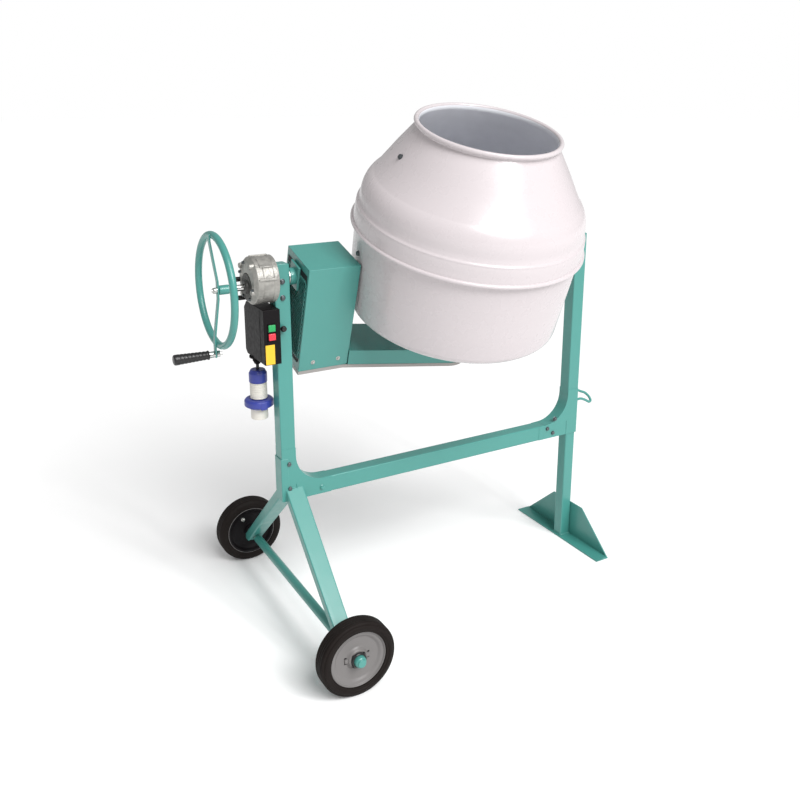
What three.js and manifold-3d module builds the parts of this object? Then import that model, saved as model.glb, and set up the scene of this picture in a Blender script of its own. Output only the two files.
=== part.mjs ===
// Tilting-drum concrete mixer on a two-wheeled frame: an electric motor in a sheet-metal box turns the drum by a
// belt and a gear pair, and a geared handwheel tips the whole yoke about the tilt axis at the tops of two posts.
// Millimetres, +Z up. The tilt axis runs along X, the mouth leans towards -Y, and the ground is Z = 0.
import * as THREE from 'three';
import { mergeVertices } from 'three/addons/utils/BufferGeometryUtils.js';
import Module from 'manifold-3d';

const wasm = await Module();
wasm.setup();

const GAP = 0.3; // clearance between pieces that touch

// ---------------------------------------------------------------- driving dimensions
const TILT_Z = 955; // height of the tilt axis
const LEAN = THREE.MathUtils.degToRad(18); // lean of the drum from upright
const LEFT_X = -377; // centre of the left post
const POST = 40; // side of the square posts
const POST_WALL = 2;
const POST_TOP = TILT_Z + 35;
const BEAM_Z = 358; // underside of the cross-beam
const BEAM_H = 45;
const LEFT_GUSSET = 78; // radius of the corner fillet at the left post
const RIGHT_GUSSET = 85;

const WHEEL_R = 98;
const WHEEL_W = 49;
const WHEEL_FACE = 388; // outer face of each tyre, from the middle
const AXLE_R = 10;
const TYRE_FACETS = 36; // flats round the tyre and its seat
const RIM_FIT = 0.02; // clearance of the rim at the middle of the seat's flats
const LEG_X = LEFT_X + 14; // centre of the legs and wheels
const LEG_W = 50; // width of a leg at the post
const LEG_FOOT_W = 42; // and at its foot
const LEG_FOOT = WHEEL_R - 16; // height of a leg's foot
const LEG_T = 26; // height of a leg's section
const LEG_WALL = 2.5;
const LEG_TOP = BEAM_Z + 35; // where a leg's outer face meets the post
const LEG_HEEL = 18; // height of a leg's upright end at the wheel
const LEG_SLOPE = (WHEEL_FACE - WHEEL_W - 6 - POST / 2 - GAP) / (LEG_TOP - LEG_FOOT - LEG_HEEL); // run per drop
const AXLE_SLEEVE = 2; // wall of the painted sleeve round the axle between the legs

const FOOT_HALF = 198; // half length of the foot on the ground
const FOOT_TOP = 114;
const FOOT_SHOULDER = 69; // half width of the foot's upper edge
const FOOT_FLANGE = 43;
const FOOT_T = 4;
const BOX_X0 = LEFT_X + POST / 2 + 27; // motor box, in the leaning yoke's own axes
const BOX_L = 140; // length of the box along X
const BOX_X1 = BOX_X0 + BOX_L;
const BOWL_R = 294; // radius under the seam
const DRUM_X = BOX_X1 + BOWL_R + 1; // drum axis
const DRUM_V = -77; // drum axis in front of the tilt axis
const SIDE_ROOM = 175; // from the bowl's wall to the right post
const RIGHT_X = DRUM_X + BOWL_R + SIDE_ROOM; // centre of the right post
const LOOP_ROD = 4; // radius of the tow loop's rod
const LOOP_REACH = RIGHT_X + POST / 2 + 74; // how far the loop reaches along X
const LOOP_Z = BEAM_Z + 115;
const LOOP_DROP = 24; // how far the loop's tip hangs below its roots
const LOOP_RISE = 11; // how far each root is above or below their middle
const LOOP_HALF = 10;

const SHEET = 2.5; // drum sheet
const BOWL_BOTTOM = -132;
const BOWL_FOOT_R = BOWL_R - 10; // radius where the bottom corner starts
const CORNER_H = 42; // height and width of the bowl's corner
const CORNER_W = 112;
const SEAM_T = 122; // underside of the seam flange
const SEAM_H = 50; // height of the overlap band
const SEAM_R = BOWL_R + 12.7;
const CONE_FOOT_R = BOWL_R - 6;
const MOUTH_T = 396;
const MOUTH_R = 186;
const BEAD_R = 6;
const SHOULDER_R = BOWL_R - 32; // radius where the shoulder runs into the cone
const BLADE_TURN = THREE.MathUtils.degToRad(-8); // direction of the first mixing blade
const BLADE_T = 5;
const BLADE_STAND_OFF = 14;

const BOX_V0 = -69;
const BOX_V1 = 67;
const BOX_T0 = -247;
const BOX_T1 = 50;
const BOX_SHEET = 2;
const ARM_HALF = 67; // half width of the belt arm
const ARM_TOP = -203;
const PAN_H = 10; // height of the bottom cover
const YOKE_W = 40; // width of the right arm
const YOKE_T = 28; // thickness of the right arm
const YOKE_REACH = BOWL_R + 38; // right arm's centre line, from the drum axis
const YOKE_BEND = 70;
const YOKE_WALL = 2.5;

const SHAFT_R = 12.5; // tilt shaft and trunnion
const RUN = 0.4; // running clearance, radial
const TILT_MODULE = 1.5;
const RING_TEETH = 32;
const TILT_PINION_TEETH = 12;
const DRUM_MODULE = 2;
const DRUM_TEETH = 60;
const DRUM_PINION_TEETH = 12;
const SPINDLE_R = 12.5;
const MOTOR_X = BOX_X0 + BOX_L / 2;
const MOTOR_V = -1;
const MOTOR_R = 54;
const MOTOR_PULLEY_R = 9;
const DRIVEN_PULLEY_R = 54;
const BELT_T = 3;

const HOUSING_R = 59; // tilt gear housing
const HOUSING_L = 64;
const HANDWHEEL_X = LEFT_X - POST / 2 - HOUSING_L - 78; // middle of the rim
const HANDWHEEL_R = 133.5; // to the middle of the rim's rod
const RIM_ROD = 9;
const SPOKE_W = 14;
const SPOKE_T = 4;
const SPOKE_END = 8; // spoke beyond the grip's centre
const SPOKE_DISH = 14; // how far the spoke steps in towards the hub
const GRIP_OFFSET = HANDWHEEL_R + 23.5; // crank grip from the handwheel's centre
const GRIP_END = HANDWHEEL_X - 113;
const GRIP_L = 87;
const GRIP_R = 13;
const BOLT_R = 4;
const HUB_R = 11.5;
const HUB_L = 26;
const PINION_SHAFT_R = 8;

const SWITCH_X0 = LEFT_X - POST / 2 - 43; // switch box
const SWITCH_Y0 = -48;
const SWITCH_Y1 = 90;
const SWITCH_Z1 = TILT_Z - HOUSING_R - 8;
const SWITCH_Z0 = SWITCH_Z1 - 140;
const SWITCH_WALL = 3;
const SWITCH_STEP = 12;
const SWITCH_SHOULDER = 18;
const BUTTON_X = SWITCH_X0 + 20;
const BUTTON_W = 18;
const BUTTON_H = 17;
const START_Z = SWITCH_Z1 - 46;
const STOP_Z = START_Z - 22;
const PLUG_X = SWITCH_X0 + 15; // cable gland, lead and plug hang on one line
const PLUG_Y = 50;
const LEAD_R = 4;
const LEAD_TOP = SWITCH_Z0 + 10;
const LEAD_BOTTOM = LEAD_TOP - 52;
const NUT_R = 23.5;
const NUT_H = 34;
const PLUG_R = 22.2;
const PLUG_H = 44;
const FLANGE_R = 38;
const FLANGE_H = 25;
const SHROUD_H = 29;
const GLAND_H = 22;

// ---------------------------------------------------------------- materials
const paint = (color, roughness = 0.45, metalness = 0.1) =>
  new THREE.MeshStandardMaterial({ color, roughness, metalness });
const FRAME_PAINT = paint('#4fae9c');
const DRUM_PAINT = paint('#dedad9', 0.35);
const COVER_GREY = paint('#cfccca', 0.5);
const STEEL = paint('#9a9a98', 0.35, 0.9);
const CHROME = paint('#c8c8c6', 0.15, 1);
const CAST = paint('#a9a7a1', 0.55, 0.8);
const RUBBER = paint('#1d1c1c', 0.85, 0);
const RIM_GREY = paint('#9c9996', 0.5, 0.3);
const BLACK = paint('#1b1a1c', 0.5, 0);
const BLUE = paint('#3f45a4', 0.4, 0);
const PALE_GREY = paint('#d6d2c8', 0.45, 0);
const GREEN_BUTTON = paint('#1d8a4c', 0.4, 0);
const RED_BUTTON = paint('#d6283c', 0.4, 0);

// ---------------------------------------------------------------- geometry helpers
// A closed mesh with only positions, its vertices merged and its faces turned outwards.
function closed(geometry) {
  geometry.deleteAttribute('normal');
  geometry.deleteAttribute('uv');
  const merged = mergeVertices(geometry, 1e-4);
  const position = merged.attributes.position;
  const index = [];
  let volume = 0;
  const corner = [new THREE.Vector3(), new THREE.Vector3(), new THREE.Vector3()];
  for (let i = 0; i < merged.index.count; i += 3) {
    const face = [0, 1, 2].map((k) => merged.index.getX(i + k));
    if (face[0] === face[1] || face[1] === face[2] || face[2] === face[0]) continue;
    face.forEach((vertex, k) => corner[k].fromBufferAttribute(position, vertex));
    volume += corner[0].dot(corner[1].clone().cross(corner[2]));
    index.push(...face);
  }
  if (volume < 0) index.reverse();
  merged.setIndex(index);
  return merged;
}

function solidOf(geometry) {
  const mesh = closed(geometry);
  return new wasm.Manifold(new wasm.Mesh({
    numProp: 3,
    vertProperties: new Float32Array(mesh.attributes.position.array),
    triVerts: new Uint32Array(mesh.index.array),
  }));
}

function geometryOf(solid) {
  const mesh = solid.getMesh();
  const geometry = new THREE.BufferGeometry();
  geometry.setAttribute('position', new THREE.BufferAttribute(new Float32Array(mesh.vertProperties), 3));
  geometry.setIndex(new THREE.BufferAttribute(new Uint32Array(mesh.triVerts), 1));
  return geometry;
}

const join = (...pieces) => geometryOf(pieces.map(solidOf).reduce((whole, piece) => whole.add(piece)));
const cut = (body, ...tools) =>
  geometryOf(tools.map(solidOf).reduce((whole, tool) => whole.subtract(tool), solidOf(body)));

// A box between two corners.
function box(x0, x1, y0, y1, z0, z1) {
  return new THREE.BoxGeometry(x1 - x0, y1 - y0, z1 - z0)
    .translate((x0 + x1) / 2, (y0 + y1) / 2, (z0 + z1) / 2);
}

// A solid of revolution about an axis; the profile is [radius, distance along the axis] pairs.
function turned(profile, axis = 'z', segments = 24) {
  const points = profile.map(([radius, along]) => new THREE.Vector2(radius, along));
  const last = profile[profile.length - 1];
  if (profile[0][0] > 0 || last[0] > 0) points.push(points[0].clone());
  const geometry = new THREE.LatheGeometry(points, segments);
  if (axis === 'z') geometry.rotateX(Math.PI / 2);
  if (axis === 'x') geometry.rotateZ(-Math.PI / 2);
  return closed(geometry);
}

const rod = (radius, from, to, axis, segments = 16) =>
  turned([[0, from], [radius, from], [radius, to], [0, to]], axis, segments);

const pipe = (outer, inner, from, to, axis, segments = 24) =>
  turned([[inner, from], [outer, from], [outer, to], [inner, to]], axis, segments);

// A flat outline pushed along the axis that its plane leaves out, from one end to the other.
function prism(outline, plane, from, to, curveSegments = 8) {
  const shape = outline instanceof THREE.Shape
    ? outline
    : new THREE.Shape(outline.map(([a, b]) => new THREE.Vector2(a, b)));
  const geometry = new THREE.ExtrudeGeometry(shape, { depth: to - from, bevelEnabled: false, curveSegments });
  geometry.translate(0, 0, from);
  const along = {
    xy: [[1, 0, 0], [0, 1, 0], [0, 0, 1]],
    yz: [[0, 1, 0], [0, 0, 1], [1, 0, 0]],
    xz: [[1, 0, 0], [0, 0, 1], [0, 1, 0]],
  }[plane].map((column) => new THREE.Vector3(...column));
  geometry.applyMatrix4(new THREE.Matrix4().makeBasis(...along));
  return closed(geometry);
}

// A rod bent along a list of points.
function bentRod(points, radius, steps) {
  const section = new THREE.Shape();
  section.absarc(0, 0, radius, 0, 2 * Math.PI);
  const path = new THREE.CatmullRomCurve3(points.map((point) => new THREE.Vector3(...point)), false, 'centripetal');
  return closed(new THREE.ExtrudeGeometry(section, { steps, curveSegments: 5, extrudePath: path }));
}

// Outline of a toothed wheel with involute flanks and one tooth centred on the direction given.
function toothedOutline(teeth, module, addendum, dedendum, width, direction, curved = true) {
  const pressure = THREE.MathUtils.degToRad(20);
  const pitch = (teeth * module) / 2;
  const base = pitch * Math.cos(pressure);
  const involute = (angle) => Math.tan(angle) - angle;
  const halfAngle = (radius) =>
    width / (2 * pitch) + involute(pressure) - involute(Math.acos(Math.min(1, base / radius)));
  const radii = curved ? [pitch - dedendum, pitch, pitch + addendum] : [pitch - dedendum, pitch + addendum];
  const points = [];
  for (let tooth = 0; tooth < teeth; tooth += 1) {
    const centre = direction + (2 * Math.PI * tooth) / teeth;
    radii.forEach((radius) => points.push([radius, centre - halfAngle(radius)]));
    [...radii].reverse().forEach((radius) => points.push([radius, centre + halfAngle(radius)]));
  }
  return points.map(([radius, angle]) => [radius * Math.cos(angle), radius * Math.sin(angle)]);
}

function piece(name, geometry, material) {
  const mesh = new THREE.Mesh(geometry, material);
  mesh.name = name;
  return mesh;
}

// ---------------------------------------------------------------- frame
const half = POST / 2;
const tiltPinionZ = TILT_Z - ((RING_TEETH - TILT_PINION_TEETH) * TILT_MODULE) / 2;

function post(name, centre, bottom, boreRadius) {
  const tube = cut(
    box(centre - half, centre + half, -half, half, bottom, POST_TOP),
    box(centre - half + POST_WALL, centre + half - POST_WALL, -half + POST_WALL, half - POST_WALL,
      bottom - 1, POST_TOP - POST_WALL),
    rod(boreRadius, -half - 1, half + 1, 'x').translate(centre, 0, TILT_Z),
  );
  return piece(name, tube, FRAME_PAINT);
}

function crossBeam() {
  const x0 = LEFT_X + half + GAP;
  const x1 = RIGHT_X - half - GAP;
  const tube = cut(
    box(x0, x1, -half, half, BEAM_Z, BEAM_Z + BEAM_H),
    box(x0 - 1, x1 + 1, -half + POST_WALL, half - POST_WALL, BEAM_Z + POST_WALL, BEAM_Z + BEAM_H - POST_WALL),
  );
  return piece('cross_beam', tube, FRAME_PAINT);
}

// The curved filler between a post and the beam; side is +1 when the post is on its left.
function gusset(name, postX, radius, side) {
  const shape = new THREE.Shape();
  shape.moveTo(0, 0);
  shape.lineTo(radius, 0);
  shape.absarc(radius, radius, radius, 1.5 * Math.PI, Math.PI, true);
  shape.closePath();
  const filler = prism(shape, 'xz', -half, half);
  if (side < 0) filler.scale(-1, 1, 1);
  const turnedOut = closed(filler);
  turnedOut.translate(postX + side * (half + GAP), 0, BEAM_Z + BEAM_H + GAP);
  return piece(name, turnedOut, FRAME_PAINT);
}

function rightLeg() {
  const side = half - POST_WALL - GAP;
  const inner = side - LEG_WALL;
  const top = BEAM_Z + 120;
  const tube = cut(
    box(RIGHT_X - side, RIGHT_X + side, -side, side, FOOT_T + GAP, top),
    box(RIGHT_X - inner, RIGHT_X + inner, -inner, inner, FOOT_T, top + 1),
  );
  return piece('right_leg', tube, FRAME_PAINT);
}

// A folded foot: a flange on the ground under the leg and an upright wing on its outer side.
function footPlate() {
  const wingX = RIGHT_X + half - POST_WALL;
  const wing = prism([[-FOOT_HALF, 0], [FOOT_HALF, 0], [FOOT_SHOULDER, FOOT_TOP], [-FOOT_SHOULDER, FOOT_TOP]],
    'yz', wingX, wingX + FOOT_T);
  const flange = box(wingX - FOOT_FLANGE, wingX + FOOT_T / 2, -FOOT_HALF, FOOT_HALF, 0, FOOT_T);
  return piece('foot_plate', join(wing, flange), FRAME_PAINT);
}

// One leg of the wheeled side, splayed towards side * Y, with the axle's bore at its foot.
function splayedLeg(name, side) {
  const face = half + GAP;
  const wheelSide = WHEEL_FACE - WHEEL_W - 6;
  const drop = LEG_T * Math.hypot(1, LEG_SLOPE) / LEG_SLOPE;
  const outline = (inset) => {
    const top = LEG_TOP - inset * Math.hypot(1, LEG_SLOPE) / LEG_SLOPE;
    const lower = LEG_TOP - drop + inset * Math.hypot(1, LEG_SLOPE) / LEG_SLOPE;
    const innerY = (z) => Math.min(face + (lower - z) * LEG_SLOPE, wheelSide - inset - 1.5);
    const end = LEG_FOOT - inset * 4;
    return [
      [face + inset, top - inset / LEG_SLOPE],
      [wheelSide - inset, top - (wheelSide - inset - face) / LEG_SLOPE],
      [wheelSide - inset, end],
      [innerY(end), end],
      [face + inset, lower - inset / LEG_SLOPE],
    ].map(([y, z]) => [side * y, z]);
  };
  const narrowed = (inset) => {
    const leg = prism(outline(inset), 'yz', -1, 1);
    const position = leg.attributes.position;
    for (let i = 0; i < position.count; i += 1) {
      const down = (LEG_TOP - position.getZ(i)) / (LEG_TOP - LEG_FOOT);
      const width = THREE.MathUtils.lerp(LEG_W, LEG_FOOT_W, down) - 2 * inset;
      position.setX(i, LEG_X + (position.getX(i) * width) / 2);
    }
    return leg;
  };
  const bore = rod(AXLE_R + GAP, side > 0 ? 200 : -400, side > 0 ? 400 : -200, 'y').translate(LEG_X, 0, WHEEL_R);
  return piece(name, cut(narrowed(0), narrowed(LEG_WALL), bore), FRAME_PAINT);
}

// Painted sleeve that spaces the legs, between their sloping faces.
function axleSleeve() {
  const outer = AXLE_R + GAP + AXLE_SLEEVE;
  const lower = LEG_TOP - LEG_T * Math.hypot(1, LEG_SLOPE) / LEG_SLOPE;
  const end = half + GAP + (lower - WHEEL_R - outer) * LEG_SLOPE - 2 * GAP;
  const sleeve = pipe(outer, AXLE_R + GAP, -end, end, 'y', 20).translate(LEG_X, 0, WHEEL_R);
  return piece('axle_sleeve', sleeve, FRAME_PAINT);
}

// One axle through both legs, with a collar that spaces each wheel from its leg.
function axle() {
  const collar0 = WHEEL_FACE - WHEEL_W - 6 + GAP;
  const collar1 = WHEEL_FACE - WHEEL_W + 1;
  const end = WHEEL_FACE - 4;
  const side = [[AXLE_R, collar0], [AXLE_R + 4, collar0], [AXLE_R + 4, collar1], [AXLE_R, collar1],
    [AXLE_R, end], [0, end]];
  const mirrored = side.map(([radius, along]) => [radius, -along]).reverse();
  return piece('axle', turned([...mirrored, ...side], 'y', 16).translate(LEG_X, 0, WHEEL_R), STEEL);
}

// A rod bent to a U that stands out from the right post and slopes down a little.
function towLoop() {
  const root = RIGHT_X + half + GAP;
  const straight = LOOP_REACH - LOOP_ROD - LOOP_HALF;
  const foot = root + 10;
  const drop = (x) => LOOP_Z - (Math.max(0, x - foot) / (LOOP_REACH - foot)) * LOOP_DROP;
  const bend = [60, 30, 0, -30, -60].map((degrees) => {
    const angle = THREE.MathUtils.degToRad(degrees);
    return [straight + LOOP_HALF * Math.cos(angle), LOOP_HALF * Math.sin(angle)];
  });
  const arm = [[root, LOOP_HALF], [root + 5, LOOP_HALF], [foot, LOOP_HALF], [straight, LOOP_HALF]];
  const plan = [...arm, ...bend, ...arm.map(([x, y]) => [x, -y]).reverse()];
  const points = plan.map(([x, y]) => [x, y, drop(x) + (y / LOOP_HALF) * LOOP_RISE]);
  return piece('tow_loop', bentRod(points, LOOP_ROD, 20), FRAME_PAINT);
}

function leftBush() {
  const x0 = LEFT_X - half + GAP;
  const x1 = LEFT_X + half + GAP;
  const profile = [[SHAFT_R + RUN, x0], [SHAFT_R + 3, x0], [SHAFT_R + 3, x1], [SHAFT_R + 8, x1],
    [SHAFT_R + 8, x1 + 3], [SHAFT_R + RUN, x1 + 3]];
  return piece('left_bush', turned(profile, 'x').translate(0, 0, TILT_Z), STEEL);
}

function rightBush() {
  const x0 = RIGHT_X - half - GAP;
  const profile = [[SHAFT_R + RUN, x0 - 3], [SHAFT_R + 8, x0 - 3], [SHAFT_R + 8, x0], [SHAFT_R + 3, x0],
    [SHAFT_R + 3, RIGHT_X + half], [SHAFT_R + RUN, RIGHT_X + half]];
  return piece('right_bush', turned(profile, 'x').translate(0, 0, TILT_Z), STEEL);
}

// ---------------------------------------------------------------- tilt gear
const housingX1 = LEFT_X - half - GAP;
const housingX0 = housingX1 - HOUSING_L;
const spokeOuter = HANDWHEEL_X - RIM_ROD - SPOKE_T + 1.5; // outer face of the spoke where it meets the rim

function gearHousing() {
  const wall = 5;
  const endWall = 8;
  const profile = [[0, housingX0], [HOUSING_R - 8, housingX0], [HOUSING_R, housingX0 + 8], [HOUSING_R, housingX1],
    [HOUSING_R - wall, housingX1], [HOUSING_R - wall, housingX0 + endWall], [0, housingX0 + endWall]];
  const boss = rod(PINION_SHAFT_R + 9, housingX0 - 8, housingX0 + 1, 'x').translate(0, 0, tiltPinionZ - TILT_Z);
  const bore = rod(PINION_SHAFT_R + RUN, housingX0 - 20, housingX0 + 20, 'x')
    .translate(0, 0, tiltPinionZ - TILT_Z);
  const pad = box(housingX0 + 18, housingX0 + 52, -16, 16, HOUSING_R - 8, HOUSING_R + 1)
    .rotateX(THREE.MathUtils.degToRad(35));
  const body = cut(join(turned(profile, 'x', 36), boss, pad), bore,
    rod(HOUSING_R - wall, housingX0 + endWall, housingX1 + 1, 'x', 36));
  return piece('gear_housing', body.translate(0, 0, TILT_Z), CAST);
}

const ringX0 = housingX0 + 11;
const ringX1 = ringX0 + 14;

// Internal gear on the tilt shaft: a toothed cup, its web and its hub.
function ringGear() {
  const outer = (RING_TEETH * TILT_MODULE) / 2 + 10;
  const cup = turned([[0, ringX0], [outer, ringX0], [outer, ringX1 + 6], [SHAFT_R + 7, ringX1 + 6],
    [SHAFT_R + 7, ringX1 + 30], [0, ringX1 + 30]], 'x', 28);
  const space = (Math.PI * TILT_MODULE) / 2 + 0.35;
  const teeth = toothedOutline(RING_TEETH, TILT_MODULE, 1.25 * TILT_MODULE, 0.9 * TILT_MODULE, space, -Math.PI / 2);
  const toothed = prism(teeth, 'yz', ringX0 - 1, ringX1);
  const bore = rod(SHAFT_R + GAP, ringX1 - 1, ringX1 + 40, 'x');
  return piece('ring_gear', cut(cup, toothed, bore).translate(0, 0, TILT_Z), STEEL);
}

function tiltShaft() {
  return piece('tilt_shaft', rod(SHAFT_R, ringX1 + 1, BOX_X0 - 1, 'x').translate(0, 0, TILT_Z), STEEL);
}

// Handwheel shaft with its pinion, cut down to a bolt where the handwheel is held by a nut.
function pinionShaft() {
  const hubFace = spokeOuter + SPOKE_T + SPOKE_DISH;
  const nutFace = hubFace - SPOKE_T - 2 * GAP;
  const teeth = toothedOutline(TILT_PINION_TEETH, TILT_MODULE, 0.9 * TILT_MODULE, 1.25 * TILT_MODULE,
    (Math.PI * TILT_MODULE) / 2 - 0.1, -Math.PI / 2);
  const pinion = prism(teeth, 'yz', ringX0 - 2, ringX1 - 1);
  const tip = nutFace - 12;
  const profile = [[0, tip], [BOLT_R, tip], [BOLT_R, nutFace - 7], [7, nutFace - 7], [7, nutFace],
    [BOLT_R, nutFace], [BOLT_R, hubFace + 6], [PINION_SHAFT_R, hubFace + 6],
    [PINION_SHAFT_R, ringX0 - 1], [0, ringX0 - 1]];
  return piece('pinion_shaft', join(pinion, turned(profile, 'x', 16)).translate(0, 0, tiltPinionZ), CHROME);
}

// Rim and dished spoke, welded together; the spoke runs past the rim to carry the grip.
function handwheel() {
  const section = new THREE.Shape();
  section.absarc(HANDWHEEL_R, 0, RIM_ROD, 0, 2 * Math.PI);
  const rimProfile = section.getPoints(4).slice(0, -1).map((point) => [point.x, point.y]);
  const rim = turned(rimProfile, 'x', 36).translate(HANDWHEEL_X, 0, 0);
  const outer = spokeOuter;
  const inner = spokeOuter + SPOKE_DISH;
  const end = GRIP_OFFSET + SPOKE_END;
  const line = [[outer, HANDWHEEL_R + 4], [outer, HANDWHEEL_R - 14], [inner, 22], [inner, -22],
    [outer, 14 - HANDWHEEL_R], [outer, -end]];
  const outline = [...line, ...[...line].reverse().map(([x, z]) => [x + SPOKE_T, z])];
  const spoke = prism(outline, 'xz', -SPOKE_W / 2, SPOKE_W / 2);
  const holes = [0, -GRIP_OFFSET].map((z) => rod(BOLT_R + GAP, outer - 9, inner + 9, 'x').translate(0, 0, z));
  return piece('handwheel', cut(join(rim, spoke), ...holes).translate(0, 0, tiltPinionZ), FRAME_PAINT);
}

function handwheelHub() {
  const x0 = spokeOuter + SPOKE_T + SPOKE_DISH + GAP;
  const profile = [[BOLT_R + GAP, x0], [HUB_R, x0], [HUB_R, x0 + HUB_L], [PINION_SHAFT_R + GAP, x0 + HUB_L],
    [PINION_SHAFT_R + GAP, x0 + 5], [BOLT_R + GAP, x0 + 5]];
  return piece('handwheel_hub', turned(profile, 'x').translate(0, 0, tiltPinionZ), FRAME_PAINT);
}

// Bolt and sleeve that carry the crank grip on the spoke's outer end.
function gripBolt() {
  const spokeFace = spokeOuter;
  const gripFace = GRIP_END + GRIP_L;
  const back = spokeFace + SPOKE_T + GAP;
  const profile = [[0, GRIP_END + 6], [BOLT_R, GRIP_END + 6], [BOLT_R, gripFace + GAP], [8, gripFace + GAP],
    [8, spokeFace - GAP], [BOLT_R, spokeFace - GAP], [BOLT_R, back], [8, back], [8, back + 8],
    [BOLT_R, back + 8], [BOLT_R, back + 15], [0, back + 15]];
  return piece('grip_bolt', turned(profile, 'x', 16).translate(0, 0, tiltPinionZ - GRIP_OFFSET), CHROME);
}

function crankGrip() {
  const x1 = GRIP_END + GRIP_L;
  const bore = BOLT_R + RUN;
  const profile = [[0, GRIP_END], [GRIP_R - 2, GRIP_END], [GRIP_R, GRIP_END + 3], [GRIP_R - 3, x1], [bore, x1],
    [bore, GRIP_END + 5], [0, GRIP_END + 5]];
  return piece('crank_grip', turned(profile, 'x', 20).translate(0, 0, tiltPinionZ - GRIP_OFFSET), BLACK);
}

// ---------------------------------------------------------------- switch box, lead and plug
const switchX1 = LEFT_X - half - GAP;

function switchBox() {
  const windows = [START_Z, STOP_Z].map((z) =>
    box(BUTTON_X - BUTTON_W / 2 - RUN, BUTTON_X + BUTTON_W / 2 + RUN, SWITCH_Y0 - 1, SWITCH_Y0 + SWITCH_WALL + 1,
      z - BUTTON_H / 2 - RUN, z + BUTTON_H / 2 + RUN));
  const outline = (inset) => {
    const top = SWITCH_Z1 - inset;
    const bottom = SWITCH_Z0 + inset;
    return [[SWITCH_Y0 + inset, bottom], [SWITCH_Y1 - SWITCH_STEP, bottom], [SWITCH_Y1 - inset, bottom + 10],
      [SWITCH_Y1 - inset, top - SWITCH_SHOULDER], [SWITCH_Y1 - SWITCH_SHOULDER, top], [SWITCH_Y0 + inset, top]];
  };
  const shell = cut(
    prism(outline(0), 'yz', SWITCH_X0, switchX1),
    prism(outline(SWITCH_WALL), 'yz', SWITCH_X0 + SWITCH_WALL, switchX1 + 1),
    rod(LEAD_R + 1, SWITCH_Z0 - 1, SWITCH_Z0 + 9, 'z').translate(PLUG_X, PLUG_Y, 0),
    ...windows,
  );
  return piece('switch_box', shell, BLACK);
}

function button(name, z, material) {
  const block = box(BUTTON_X - BUTTON_W / 2, BUTTON_X + BUTTON_W / 2, SWITCH_Y0 - 4, SWITCH_Y0 + 8,
    z - BUTTON_H / 2, z + BUTTON_H / 2);
  return piece(name, block, material);
}

function atPlug(name, profile, material, segments = 22) {
  return piece(name, turned(profile, 'z', segments).translate(PLUG_X, PLUG_Y, 0), material);
}

function cableGland() {
  const top = SWITCH_Z0 - GAP;
  const bore = LEAD_R + GAP;
  return atPlug('cable_gland', [[bore, top - GLAND_H], [9, top - GLAND_H], [20, top - 4], [20, top], [bore, top]],
    BLACK);
}

const plugTop = LEAD_BOTTOM + 5;
const nutBottom = plugTop - NUT_H;
const bodyBottom = nutBottom - PLUG_H;
const flangeBottom = bodyBottom - FLANGE_H;
const shroudBottom = flangeBottom - SHROUD_H;

function mainsLead() {
  const section = new THREE.Shape();
  section.absarc(0, 0, LEAD_R, 0, 2 * Math.PI);
  const path = new THREE.LineCurve3(
    new THREE.Vector3(PLUG_X, PLUG_Y, LEAD_TOP), new THREE.Vector3(PLUG_X, PLUG_Y, LEAD_BOTTOM));
  const lead = new THREE.ExtrudeGeometry(section, { steps: 4, curveSegments: 5, extrudePath: path });
  return piece('mains_lead', closed(lead), BLACK);
}

function plugPieces() {
  const bore = LEAD_R + GAP;
  const nut = atPlug('plug_nut', [[0, nutBottom], [NUT_R, nutBottom], [NUT_R, plugTop - 6], [NUT_R - 5, plugTop],
    [bore, plugTop], [bore, LEAD_BOTTOM - 1], [0, LEAD_BOTTOM - 1]], BLUE);
  const body = atPlug('plug_body', [[0, bodyBottom], [PLUG_R, bodyBottom], [PLUG_R, nutBottom - GAP],
    [0, nutBottom - GAP]], PALE_GREY);
  const flange = atPlug('plug_flange', [[0, flangeBottom], [PLUG_R + 5, flangeBottom], [FLANGE_R, flangeBottom + 7],
    [FLANGE_R, bodyBottom - 4], [FLANGE_R - 4, bodyBottom - GAP], [0, bodyBottom - GAP]], BLUE);
  const floor = flangeBottom - 4;
  const shroud = atPlug('plug_shroud', [[0, floor], [PLUG_R - 3, floor], [PLUG_R - 3, shroudBottom], [PLUG_R, shroudBottom],
    [PLUG_R, flangeBottom - GAP], [0, flangeBottom - GAP]], PALE_GREY);
  const seat = rod(PLUG_R - 5, floor - 2 - GAP, floor - GAP, 'z');
  const pins = [0, 1, 2].map((turn) => {
    const angle = (turn * 2 * Math.PI) / 3 + Math.PI / 2;
    return rod(2.4, shroudBottom + 5, floor - 1, 'z', 16).translate(10.5 * Math.cos(angle), 10.5 * Math.sin(angle), 0);
  });
  const contacts = piece('plug_pins', join(seat, ...pins).translate(PLUG_X, PLUG_Y, 0), CHROME);
  return [nut, body, flange, shroud, contacts];
}

function lockKnob() {
  const face = -half - GAP;
  const profile = [[0, face], [4, face], [4, face - 5], [7, face - 7], [7, face - 14], [5, face - 16], [0, face - 16]];
  return piece('lock_knob', turned(profile, 'y', 20).translate(LEFT_X - 5, 0, SWITCH_Z1 - 57), BLACK);
}

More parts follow.
